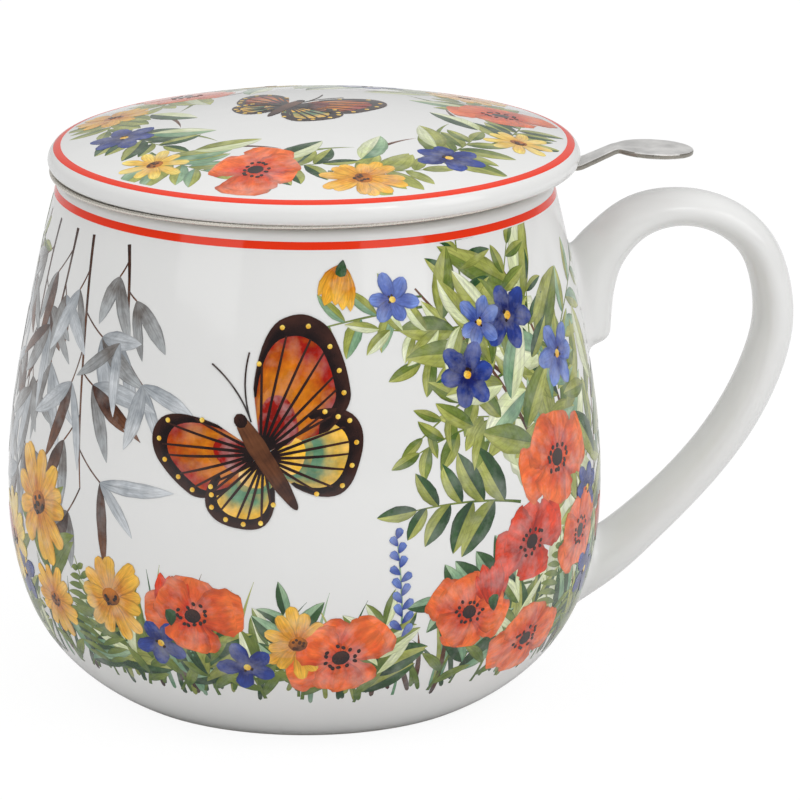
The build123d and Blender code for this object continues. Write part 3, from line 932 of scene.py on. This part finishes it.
def flower_stalk(brush, length, bend, flower, leaves=4, leaf_size=(6, 1.8)):
    """Stalk with a few leaves that ends in a flower."""
    grown = stem(brush, length, bend, MOSS, 0.6, 0.35)
    shares = [0.1 + 0.7 * number / leaves for number in range(leaves)]
    for _, _, place, heading, side in both_sides(grown, shares):
        leaf(brush.at(place, heading + side * brush.around(38, 12), flip=side),
             leaf_size[0] * brush.around(1, 0.2), leaf_size[1], MOSS, brush.around(20, 20))
    flower(brush.at(*stem_at(grown, 1)))


def spike(brush, length, bend, inks):
    """Upright spike of small florets."""
    grown = stem(brush, length, bend, SAGE)
    shares = [0.42 + 0.58 * number / 14 for number in range(15)]
    for _, share, place, heading, side in both_sides(grown, shares):
        floret = brush.at(place, heading + side * brush.around(40, 18))
        petal(floret, length * 0.085 * (1.35 - 0.6 * share), length * 0.045, inks)


def blade(brush, length, bend, inks):
    """Blade of grass."""
    line = bent(length, bend)
    brush.paint(line, shape(line, 0.9, 0.25, 0.9), STEMS, inks, wash=0.35)


def fern(brush, length, bend, inks):
    """Frond with many narrow leaflets."""
    grown = stem(brush, length, bend, inks)
    pairs = int(length / 1.9)
    shares = [0.14 + 0.84 * (number // 2) / pairs for number in range(2 * pairs)]
    for _, share, place, heading, side in both_sides(grown, shares):
        reach = length * 0.26 * sin(pi * min(1, 0.16 + share * 0.86)) + 0.5
        leaf(brush.at(place, heading + side * 62, flip=side), reach, 1.15, inks, 20, vein=0.0)


def hanging_twig(brush, length, bend, fans):
    """Brown twig with shoots that end in fans of long narrow grey leaves."""
    grown = stem(brush, length, bend, BARK, 0.75, 0.25)
    shares = (min(1, 0.1 + 0.9 * (number + 0.5 * brush.chance.random()) / (fans - 0.6))
              for number in range(fans))
    for _, _, place, heading, side in both_sides(grown, shares):
        shoot = brush.at(place, heading + side * brush.around(30, 16), flip=side)
        tip = bent(brush.around(4.5, 2.5), 14)
        shoot.paint(tip, np.full(len(tip), 0.14), STEMS, BARK)
        for turn in (-34, 0, 36, 14)[:2 + brush.chance.randrange(3)]:
            inks = (STONE, SILVER, SILVER, STONE, BARK)[brush.chance.randrange(5)]
            leaf(shoot.at(tip[-1], brush.around(turn, 10)), brush.around(11.5, 3.5),
                 brush.around(2.5, 0.7), inks, brush.around(0, 24), vein=0.4)


def bough(brush, length, bend, pairs, leaf_size, blossoms, size):
    """Woody branch with leafy twigs in several greens, and blossoms at shares of it."""
    grown = stem(brush, length, bend, BARK, 0.9, 0.35)
    shares = [0.08 + 0.9 * number / (2 * pairs) for number in range(2 * pairs)]
    for number, _, place, heading, side in both_sides(grown, shares):
        inks = (FOREST, MOSS, OLIVE, MOSS, SAGE)[brush.chance.randrange(5)]
        twig = brush.at(place, heading + side * brush.around(46, 14), flip=side)
        if number % 3 == 0:
            sprig(twig, leaf_size[0] * 1.7, brush.around(20, 20), 3,
                  (leaf_size[0] * 0.75, leaf_size[1] * 0.7), inks, OLIVE)
        else:
            glow = OLIVE if inks is FOREST or inks is MOSS else PALE_GREEN
            leaf(twig, leaf_size[0] * brush.around(1.05, 0.25),
                 leaf_size[1] * brush.around(1, 0.2), inks, brush.around(12, 22), glow)
    for share, inks in blossoms:
        place, heading = stem_at(grown, share)
        side = 1 if brush.chance.random() > 0.5 else -1
        twig = brush.at(place, heading + side * 50)
        tip = bent(5, 10)
        twig.paint(tip, np.full(len(tip), 0.18), STEMS, MOSS)
        blossom(twig.at(tip[-1]), size * brush.around(1, 0.15), inks, petals=6)


def wash_cloud(brush, wide, tall, inks):
    """Pale patch of thin colour behind other strokes."""
    for _ in range(3):
        spot = brush.at((brush.around(0, wide * 0.3), brush.around(0, tall * 0.3)),
                        brush.around(0, 60))
        line = bent(tall * 0.7, 20, (0, -tall * 0.35))
        off = 2 * shares_of(line) - 1
        spot.paint(line, wide * 0.3 * np.sqrt(1.01 - off ** 2), WASH, inks, wash=1.0, ragged=0.2)


def wing(brush, reach, angles, inks, spots, level):
    """Butterfly wing: a fan with veins, a dark border and pale spots in the border."""
    fine = np.linspace(angles[0], angles[1], max(13, int(max(reach) / 0.5)))
    reach = np.interp(fine, np.linspace(angles[0], angles[1], len(reach)), reach)
    reach = np.convolve(np.pad(reach, 2, "reflect", reflect_type="odd"), np.ones(5) / 5, "valid")
    brush.fan(reach, fine, (0.04, 0.5), level, (inks[0], inks[1]))
    brush.fan(reach, fine, (0.5, 0.9), level, (inks[1], inks[0]))
    brush.fan(reach * 0.42, fine, (0.1, 1.0), HEARTS, (inks[0] * 0.5, inks[0]), wash=0.6)
    for share in np.linspace(0.1, 0.9, 7):
        place = int(share * (len(fine) - 1))
        line = bent(reach[place] * 0.84, brush.around(0, 6), (0, reach[place] * 0.06))
        vein = brush.facing(-fine[place])
        vein.paint(line, np.linspace(0.28, 0.14, len(line)), LINES, DARK, wash=0.0)
    brush.fan(reach, fine, (0.86, 1.0), LINES, DARK, wash=0.0)
    for number in range(spots):
        place = int((number + 0.5) / spots * (len(fine) - 1))
        blob(brush.facing(-fine[place]).at((0, reach[place] * 0.93)), 0.8, 0.8, LEMON)


def butterfly(brush, size):
    """Butterfly with rust fore wings and gold and green hind wings, seen from above."""
    for side in (1, -1):
        near = 1.0 if side > 0 else 0.8
        fore, hind = brush.at((0, 0.01 * size), flip=side), brush.at((0, -0.01 * size), flip=side)
        wing(hind, size * near * np.array([0.26, 0.35, 0.38, 0.37, 0.35, 0.34, 0.30, 0.16]),
             (80, 166), (GOLD[1], SAGE[0]), 6, BACK_PETALS)
        wing(fore, size * near * np.array([0.24, 0.48, 0.54, 0.53, 0.47, 0.42, 0.38, 0.26]),
             (26, 105), (POPPY[0], GOLD[0]), 7, PETALS)
        feeler = bent(size * 0.26, -34, (0, size * 0.13))
        feeler_brush = brush.at((0, 0), -14, flip=side)
        feeler_brush.paint(feeler, np.full(len(feeler), 0.12), LINES, DARK)
    body = bent(size * 0.4, 0, (0, -size * 0.24))
    brush.paint(body, shape(body, size * 0.07, 0.5, 0.3), DOTS, BARK, wash=0.0)
    blob(brush.at((0, size * 0.15)), size * 0.05, size * 0.055, DARK)


# ---------------------------------------------------------------- layout of the print

def mug_brush(canvas, piece, degrees_round, height, seed, turn, flip=1):
    """Brush for a motif at degrees round the mug from the camera's side, and a height."""
    return Brush(canvas, piece, (degrees_round, height), Random(seed), turn=turn, flip=flip)


def thicket(canvas, degrees_round, seed, flip=1):
    """Tall leafy corner with blue blossoms and poppies."""
    def brush(away, height, number, turn=0):
        """Brush on the thicket's side, mirrored with it."""
        return mug_brush(canvas, "print_foliage", degrees_round + flip * away, height,
                         seed + number, flip * turn, flip)

    for number, (away, height) in enumerate(((2, 66), (-8, 50), (8, 36), (-2, 24))):
        wash_cloud(brush(away, height, number), 17, 17, PALE_GREEN)
    bough(brush(8, 34, 11, 6), 46, 22, 6, (14, 5.6), ((0.5, BLUE), (0.78, NAVY)), 10)
    bough(brush(14, 18, 12, -6), 40, -14, 6, (13, 5.0), ((0.4, NAVY),), 9)
    bough(brush(-2, 54, 13, 58), 32, -24, 5, (11, 4.2), ((0.45, NAVY), (0.95, BLUE)), 9.5)
    bough(brush(-5, 44, 14, 20), 26, 18, 4, (12, 5.0), ((0.9, BLUE),), 9)
    sprig(brush(-10, 70, 15, 100), 24, -20, 5, (9, 3.2), OLIVE, PALE_GREEN)
    sprig(brush(-12, 40, 16, 74), 20, 22, 4, (11, 4.6), FOREST, OLIVE)
    sprig(brush(-8, 26, 17, 84), 18, 10, 4, (11, 4.8), FOREST, SAGE)
    for number, (away, height, size) in enumerate(((0, 45, 19), (-9, 33, 16), (9, 31, 15))):
        poppy(mug_brush(canvas, "print_flowers", degrees_round + flip * away, height,
                        seed + 30 + number, 20 * number), size, POPPY if number % 2 else CORAL)


def meadow(canvas, degrees_round, seed, wide, kinds):
    """Border of grass, leaves and flowers that grows from the foot."""
    chance = Random(seed)
    for number in range(int(wide * 0.6)):
        place = degrees_round + wide * (chance.random() - 0.5)
        tall = 9 + 13 * chance.random()
        brush = mug_brush(canvas, "print_stems", place, chance.uniform(9, 12), seed + number,
                          chance.uniform(-20, 20))
        blade(brush, tall, chance.uniform(-40, 40), (FOREST, MOSS, SAGE, OLIVE, BARK)[number % 5])
    for number in range(int(wide / 9)):
        place = degrees_round + wide * ((number + chance.random()) / int(wide / 9) - 0.5)
        inks, glow = ((FOREST, OLIVE), (MOSS, PALE_GREEN), (SAGE, FOREST))[number % 3]
        brush = mug_brush(canvas, "print_stems", place, chance.uniform(9, 13),
                          seed + 40 + number, chance.uniform(-40, 40))
        sprig(brush, 8 + 9 * chance.random(), chance.uniform(-30, 30), 3, (10.5, 3.6), inks,
              glow, 40)
    spots = int(wide / 9.5)
    for number in range(spots):
        place = degrees_round + wide * ((number + 0.6 * chance.random() + 0.2) / spots - 0.5)
        brush = mug_brush(canvas, "print_flowers", place, 10, seed + 60 + number,
                          chance.uniform(-16, 16))
        kind = kinds[number % len(kinds)]
        tall = 6 + 10 * chance.random()
        if kind == "poppy":
            flower = partial(poppy, size=chance.uniform(14, 18), inks=CORAL)
            flower_stalk(brush, tall, chance.uniform(-20, 20), flower)
        elif kind == "daisy":
            flower = partial(daisy, size=chance.uniform(11, 14.5), inks=GOLD, heart=BROWN_HEART)
            flower_stalk(brush, tall + 4, chance.uniform(-24, 24), flower)
        elif kind == "blossom":
            flower = partial(blossom, size=9.5, inks=NAVY)
            flower_stalk(brush, tall + 1, chance.uniform(-24, 24), flower)
        elif kind == "bell":
            flower = partial(bell, size=10, inks=POPPY)
            flower_stalk(brush, tall + 5, chance.uniform(-34, 34), flower)
        elif kind == "spike":
            spike(brush, tall + 13, chance.uniform(-16, 16), BLUE)
        else:
            fern(brush, tall + 8, chance.uniform(-30, 30), MOSS)


def twigs(canvas, seed, turn, turn_step, rows):
    """Twigs that hang from the rim. Rows: degrees round, length, bend."""
    for number, (away, length, bend) in enumerate(rows):
        brush = mug_brush(canvas, "print_twigs", away, TWIG_HEIGHT, seed + number,
                          turn + turn_step * number)
        hanging_twig(brush, length, bend, 2 + length // 7)


def tall_daisies(canvas, seed, turn, turn_step, rows):
    """Daisies on leafy stalks. Rows: degrees round, height and size of the flower, inks."""
    for number, (away, height, size, inks) in enumerate(rows):
        brush = mug_brush(canvas, "print_flowers", away, height - 14, seed + number,
                          turn + turn_step * number)
        flower_stalk(brush, 15, 10, partial(daisy, size=size, inks=inks, heart=DARK_HEART),
                     5, (10, 2.8))


def paint_mug(material):
    """The whole print of the mug, which goes on round the back."""
    canvas = Canvas(on_mug)
    thicket(canvas, 58, 100)
    twigs(canvas, 300, 166, 7,
          ((-80, 34, 8), (-70, 40, 14), (-60, 24, -16), (-53, 40, 2), (-41, 18, -14)))
    tall_daisies(canvas, 330, 8, -9,
                 ((-56, 36, 19, GOLD), (-74, 27, 16, LEMON), (-40, 25, 15, GOLD)))
    butterfly(mug_brush(canvas, "print_butterfly", -7, 51, 400, 34), 42)
    bell(mug_brush(canvas, "print_flowers", 9, 80, 410, 168), 9, GOLD)
    meadow(canvas, -48, 500, 62, ("blossom", "bell", "daisy", "fern"))
    meadow(canvas, 6, 600, 58, ("poppy", "blossom", "daisy", "poppy", "spike"))
    meadow(canvas, 62, 700, 54, ("bell", "poppy", "fern", "blossom"))
    thicket(canvas, 226, 800, -1)
    twigs(canvas, 900, 176, 8, ((126, 36, 12), (140, 26, -10), (154, 38, 6)))
    tall_daisies(canvas, 930, 6, -7,
                 ((132, 36, 17, GOLD), (146, 26, 15, GOLD), (190, 46, 17, GOLD)))
    butterfly(mug_brush(canvas, "print_butterfly", 181, 62, 440, -24), 26)
    meadow(canvas, 150, 1000, 84, ("daisy", "blossom", "fern", "poppy"))
    meadow(canvas, 232, 1100, 76, ("bell", "fern", "poppy", "spike", "blossom"))
    canvas.build("mug", material)


def paint_lid(material):
    """Garland of leaves and flowers inside the lid's ring, round a butterfly."""
    canvas = Canvas(on_lid)
    for number in range(12):
        turn = 30 * number
        brush = Brush(canvas, "lid_print_leaves", 31 * direction(turn), Random(50 + number),
                      turn=turn + (-8 if number % 2 else 12))
        inks = (MOSS, FOREST, SAGE, FOREST, OLIVE)[number % 5]
        sprig(brush, 15, 26, 4, (10.5, 4.2), inks, OLIVE)
        inner = Brush(canvas, "lid_print_leaves", 27 * direction(turn + 12), Random(70 + number),
                      turn=turn + 60)
        leaf(inner, 11, 4.4, (SAGE, OLIVE, FOREST)[number % 3], 20, PALE_GREEN)
        blade(inner.at((0, 2)), 12, -30, (MOSS, BARK)[number % 2])
    for number in range(12):
        turn = 30 * number + 9
        place = (31 + 3 * (number % 2)) * direction(turn)
        brush = Brush(canvas, "lid_print_flowers", place, Random(90 + number), turn=turn)
        kind = (number * 5) % 4
        if kind == 0:
            poppy(brush, 17, CORAL)
        elif kind == 1:
            daisy(brush, 14, GOLD, BROWN_HEART)
        elif kind == 2:
            blossom(brush, 11, NAVY, petals=6)
        else:
            daisy(brush, 12, LEMON, BROWN_HEART, 9)
    butterfly(Brush(canvas, "lid_print_butterfly", (-4, 2), Random(200), turn=-30), 30)
    canvas.build("lid", material)


# ---------------------------------------------------------------- materials

GLAZE_WHITE = (0.80, 0.80, 0.79, 1)
RING_RED = (0.84, 0.032, 0.001, 1)
STEEL_METALLIC = 0.78


def new_material(name):
    """Node material with its tree and shader."""
    material = bpy.data.materials.new(name)
    material.use_nodes = True
    tree = material.node_tree
    return material, tree, tree.nodes["Principled BSDF"]


def fill(tree, filled, values):
    """Give a node's inputs their values or links."""
    for key, value in dict(values).items():
        if isinstance(value, bpy.types.NodeSocket):
            tree.links.new(value, filled.inputs[key])
        else:
            filled.inputs[key].default_value = value


def node(tree, kind, values=(), **settings):
    """Outputs of a new node with settings, and values or links for its inputs."""
    made = tree.nodes.new(kind)
    for key, value in settings.items():
        setattr(made, key, value)
    fill(tree, made, values)
    return made.outputs


def math_node(tree, operation, *inputs):
    """Result of a math node whose inputs are numbers or sockets."""
    return node(tree, "ShaderNodeMath", enumerate(inputs), operation=operation)[0]


def noise(tree, scale, detail, roughness=0.5, vector=None):
    """Noise in object space, with its scale in waves per metre."""
    values = {"Scale": scale, "Detail": detail, "Roughness": roughness}
    values["Vector"] = vector or node(tree, "ShaderNodeTexCoord")["Object"]
    return node(tree, "ShaderNodeTexNoise", values)["Fac"]


def remap(tree, value, low, high, to_low, to_high):
    """Value moved from one range to another, and held at its ends."""
    values = {"Value": value, "From Min": low, "From Max": high,
              "To Min": to_low, "To Max": to_high}
    return node(tree, "ShaderNodeMapRange", values)["Result"]


def relief(tree, height, strength, distance):
    """Normals of a small relief."""
    values = {"Height": height, "Strength": strength, "Distance": distance}
    return node(tree, "ShaderNodeBump", values)["Normal"]


def mix_colour(tree, factor, first, second):
    """Colour between two colours or sockets."""
    return node(tree, "ShaderNodeMix", {0: factor, 6: first, 7: second}, data_type="RGBA")[2]


def mix_shader(tree, factor, first, second):
    """Shader between two shaders."""
    return node(tree, "ShaderNodeMixShader", {0: factor, 1: first, 2: second})[0]


def attribute(tree, name, output="Vector"):
    """Value that a mesh carries at its vertices."""
    return node(tree, "ShaderNodeAttribute", attribute_name=name)[output]


def fill_glaze(tree, shader, colour):
    """Clear gloss over a colour, uneven and with faint waves."""
    fill(tree, shader, {
        "Base Color": colour, "IOR": 1.5,
        "Roughness": remap(tree, noise(tree, 900, 2), 0.3, 0.7, 0.05, 0.11),
        "Normal": relief(tree, noise(tree, 110, 2), 0.25, 0.0002)})


def glazed(name, colour):
    """Glazed porcelain, white or with one printed colour."""
    material, tree, shader = new_material(name)
    darker = tuple(0.965 * c for c in colour[:3]) + (1,)
    fill_glaze(tree, shader, mix_colour(tree, noise(tree, 60, 4), colour, darker))
    return material


def painted_glaze():
    """Water-colour paint under the glaze: each stroke runs from one ink to another."""
    material, tree, shader = new_material("painted_glaze")
    calc, ramp = partial(math_node, tree), partial(remap, tree)
    along, across, seed = node(tree, "ShaderNodeSeparateXYZ", {0: attribute(tree, "stroke")})
    marked = attribute(tree, "ink_start", "Alpha")
    off_middle = calc("ABSOLUTE", across)

    # The inks, with a cloudy border between them.
    shift = ramp(noise(tree, 420, 3), 0.25, 0.75, -0.4, 0.4)
    shift = calc("MAXIMUM", calc("ADD", along, shift), 0.0)
    shade = mix_colour(tree, calc("MINIMUM", shift, 1.0),
                       attribute(tree, "ink_start", "Color"), attribute(tree, "ink_end", "Color"))

    # Veins where the stroke's mark is above 0, rays from its base where it is below.
    midrib = ramp(off_middle, 0.0, 0.11, 1.0, 0.0)
    slant = calc("SUBTRACT", calc("MULTIPLY", along, 8.0), calc("MULTIPLY", off_middle, 1.6))
    side_vein = ramp(calc("FRACT", slant), 0.0, 0.22, 0.7, 0.0)
    veins = calc("MULTIPLY", calc("MAXIMUM", midrib, side_vein), calc("MAXIMUM", marked, 0.0))
    ray = calc("PINGPONG", calc("MULTIPLY", across, 1.75), 0.5)
    ray = calc("MULTIPLY", ramp(ray, 0.36, 0.5, 0.0, 1.0), ramp(along, 0.1, 0.75, 1.0, 0.0))
    rays = calc("MULTIPLY", ray, calc("MINIMUM", marked, 0.0))
    drawn = ramp(calc("SUBTRACT", veins, rays), 0.0, 1.0, 1.0, 0.45)

    # Streaks along the stroke, and a darker edge.
    place = node(tree, "ShaderNodeCombineXYZ", {
        0: calc("MULTIPLY", along, 2.5), 1: calc("MULTIPLY", across, 4.0), 2: seed})[0]
    streak = ramp(noise(tree, 1.0, 3, 0.6, place), 0.3, 0.7, 0.72, 1.22)
    edge = ramp(off_middle, 0.72, 1.0, 1.0, 0.72)
    dark = calc("MULTIPLY", calc("MULTIPLY", edge, streak), drawn)
    toned = node(tree, "ShaderNodeVectorMath", {0: shade, 1: dark}, operation="MULTIPLY")[0]

    # Spots where the paint is thin.
    thin = ramp(noise(tree, 260, 4, 0.6), 0.45, 0.75, 0.0, 0.7)
    thin = calc("MULTIPLY", thin, attribute(tree, "ink_end", "Alpha"))
    fill_glaze(tree, shader, mix_colour(tree, thin, toned, GLAZE_WHITE))
    return material


def biscuit():
    """Unglazed porcelain of the foot ring."""
    material, tree, shader = new_material("biscuit")
    grain = noise(tree, 4000, 4)
    fill(tree, shader, {
        "Base Color": mix_colour(tree, grain, (0.78, 0.76, 0.71, 1), (0.66, 0.64, 0.60, 1)),
        "Roughness": remap(tree, grain, 0.3, 0.7, 0.7, 0.9),
        "Normal": relief(tree, grain, 0.4, 0.0001)})
    return material


def steel(name, colour, rough, grain_scale, depth, blotch):
    """Stainless sheet with fine grain and soft blotches."""
    material, tree, shader = new_material(name)
    fine = noise(tree, grain_scale, 4, 0.6)
    cloud = remap(tree, noise(tree, 320, 3), 0.3, 0.7, 0, 1)
    dark = tuple(c * (1 - 3 * blotch) for c in colour[:3]) + (1,)
    fill(tree, shader, {
        "Base Color": mix_colour(tree, cloud, colour, dark), "Metallic": STEEL_METALLIC,
        "Roughness": remap(tree, fine, 0.3, 0.7, rough - 0.05, rough + 0.05),
        "Normal": relief(tree, fine, depth, 0.00015)})
    return material


# ---------------------------------------------------------------- pieces

porcelain = glazed("porcelain_glaze", GLAZE_WHITE)
red_print = glazed("ring_print", RING_RED)
painted = painted_glaze()
foot_biscuit = biscuit()
sheet_steel = steel("satin_sheet", (0.74, 0.7, 0.63, 1), 0.26, 2500, 0.03, 0.02)
tumbled_steel = steel("tumbled_sheet", (0.93, 0.92, 0.9, 1), 0.42, 1500, 0.5, 0.1)
# Darker steel for the tab's sideways edge faces, as painted shade.
shaded_edge_steel = steel("edge_painted_shade", (0.34, 0.32, 0.28, 1), 0.3, 2000, 0.3, 0.05)

outline, unglazed = mug_outline()
mug = turned("mug_shell", outline, [porcelain, foot_biscuit], unglazed)
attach(mug, "mug")
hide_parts("mug_body")

handle = make_handle(porcelain)
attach(handle, "mug")
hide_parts("mug_handle")

lid = turned("lid_dome", lid_outline(), [porcelain], seat=LID_SEAT)
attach(lid, "lid")
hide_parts("lid")

mug_ring = turned("mug_ring", band(*mug_ring_line()), [red_print], closed=True)
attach(mug_ring, "mug")

lid_ring = turned("lid_ring", band(*lid_ring_line()), [red_print], seat=LID_SEAT, closed=True)
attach(lid_ring, "lid")

tab = make_tab(tumbled_steel, shaded_edge_steel)
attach(tab, "infuser")
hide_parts("infuser_tab")

for name in ("infuser_flange", "infuser_wall", "infuser_floor", "infuser_hoop"):
    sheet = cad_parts[name]
    sheet.data.materials.clear()
    sheet.data.materials.append(sheet_steel)

paint_mug(painted)
paint_lid(painted)

# ---------------------------------------------------------------- stage

SKY_LOW = 0.2                # light of the sky at the horizon
SKY_HIGH = 1.24              # and overhead
REFLECTED_SIDES = 0.26       # what glossy surfaces see around them
REFLECTED_TOP = 0.8          # and overhead
REFLECTED_BACK = 0.24        # added behind the mug
FLOOR_DROP = 0.0002          # metres below the mug's foot
FLOOR_REACH = 3.0
FLOOR_GLOW = 1.05
FLOOR_GLOW_SHARE = 0.88      # how much of that white the camera sees


def area_lamp(name, place, target, size, power):
    """Soft white rectangular lamp that faces a point. Places are in metres."""
    lamp = bpy.data.lights.new(name, "AREA")
    lamp.shape = "RECTANGLE"
    lamp.size, lamp.size_y = size
    lamp.energy = power
    made = bpy.data.objects.new(name, lamp)
    made.location = place
    made.rotation_euler = (Vector(target) - Vector(place)).to_track_quat("-Z", "Y").to_euler()
    bpy.context.scene.collection.objects.link(made)


def make_world():
    """White backdrop for the camera, a soft sky, and a studio that is brighter overhead."""
    world = bpy.data.worlds.new("studio")
    bpy.context.scene.world = world
    world.use_nodes = True
    tree = world.node_tree
    tree.nodes.clear()
    path = node(tree, "ShaderNodeLightPath")
    _, back, above = node(tree, "ShaderNodeSeparateXYZ",
                          {0: node(tree, "ShaderNodeTexCoord")["Generated"]})
    mirrored = math_node(tree, "ADD",
                         remap(tree, above, 0.5, 0.95, REFLECTED_SIDES, REFLECTED_TOP),
                         remap(tree, back, 0.0, 0.8, 0.0, REFLECTED_BACK))
    sky = remap(tree, above, 0.0, 1.0, SKY_LOW, SKY_HIGH)
    sky, mirrored, white = (
        node(tree, "ShaderNodeBackground", {"Color": (1, 1, 1, 1), "Strength": strength})[0]
        for strength in (sky, mirrored, 1.0))
    lit = mix_shader(tree, path["Is Glossy Ray"], sky, mirrored)
    seen = mix_shader(tree, path["Is Camera Ray"], lit, white)
    node(tree, "ShaderNodeOutputWorld", {"Surface": seen})


def make_floor():
    """Pale floor that is nearly white to the camera and still takes the mug's shadow."""
    mesh = bpy.data.meshes.new("floor")
    corners = [(x * FLOOR_REACH, y * FLOOR_REACH, -FLOOR_DROP)
               for x, y in ((-1, -1), (1, -1), (1, 1), (-1, 1))]
    mesh.from_pydata(corners, [], [(0, 1, 2, 3)])
    material, tree, shader = new_material("pale_floor")
    fill(tree, shader, {"Base Color": (0.8, 0.8, 0.8, 1), "Roughness": 0.6})
    white = node(tree, "ShaderNodeEmission", {"Color": (1, 1, 1, 1), "Strength": FLOOR_GLOW})[0]
    share = math_node(tree, "MULTIPLY", node(tree, "ShaderNodeLightPath")["Is Camera Ray"],
                      FLOOR_GLOW_SHARE)
    seen = mix_shader(tree, share, shader.outputs[0], white)
    fill(tree, tree.nodes["Material Output"], {"Surface": seen})
    mesh.materials.append(material)
    floor = bpy.data.objects.new("floor", mesh)
    bpy.context.scene.collection.objects.link(floor)


make_world()
make_floor()
area_lamp("left_window", (-0.69, -0.57, 0.51), (0, 0, 0.05), (0.52, 0.7), 1.1)
area_lamp("right_window", (0.46, -0.76, 0.51), (0, 0, 0.05), (0.52, 0.7), 1.1)
area_lamp("right_softbox", (0.78, -0.45, 0.60), (0.02, 0, 0.04), (0.4, 0.6), 1.3)
area_lamp("front_softbox", (0.26, -0.58, 0.76), (0.06, 0, 0.07), (0.24, 0.2), 0.5)

# ---------------------------------------------------------------- camera

CAMERA_DISTANCE = 866.2
CAMERA_PITCH = 15.70         # degrees below level
CAMERA_TURN = 9.0            # degrees from the +Y axis towards the handle
CAMERA_ROLL = 0.45
CAMERA_TARGET = np.array([15.29, -2.42, 47.03])
CAMERA_LENS = 239.3

pitch, turn, roll = (radians(a) for a in (CAMERA_PITCH, CAMERA_TURN, CAMERA_ROLL))
forward = np.array([sin(turn) * cos(pitch), cos(turn) * cos(pitch), -sin(pitch)])
level_right = np.array([cos(turn), -sin(turn), 0])
level_up = np.cross(level_right, forward)
right = cos(roll) * level_right + sin(roll) * level_up
up = cos(roll) * level_up - sin(roll) * level_right
place = (CAMERA_TARGET - forward * CAMERA_DISTANCE) * MM
camera_data = bpy.data.cameras.new("camera")
camera_data.sensor_width = 36
camera_data.lens = CAMERA_LENS
camera_data.clip_end = 20
camera = bpy.data.objects.new("camera", camera_data)
axes = np.eye(4)
axes[:3, 0], axes[:3, 1], axes[:3, 2], axes[:3, 3] = right, up, -forward, place
camera.matrix_world = Matrix(axes.tolist())
bpy.context.scene.collection.objects.link(camera)
bpy.context.scene.camera = camera
bpy.context.scene.view_settings.view_transform = "Standard"
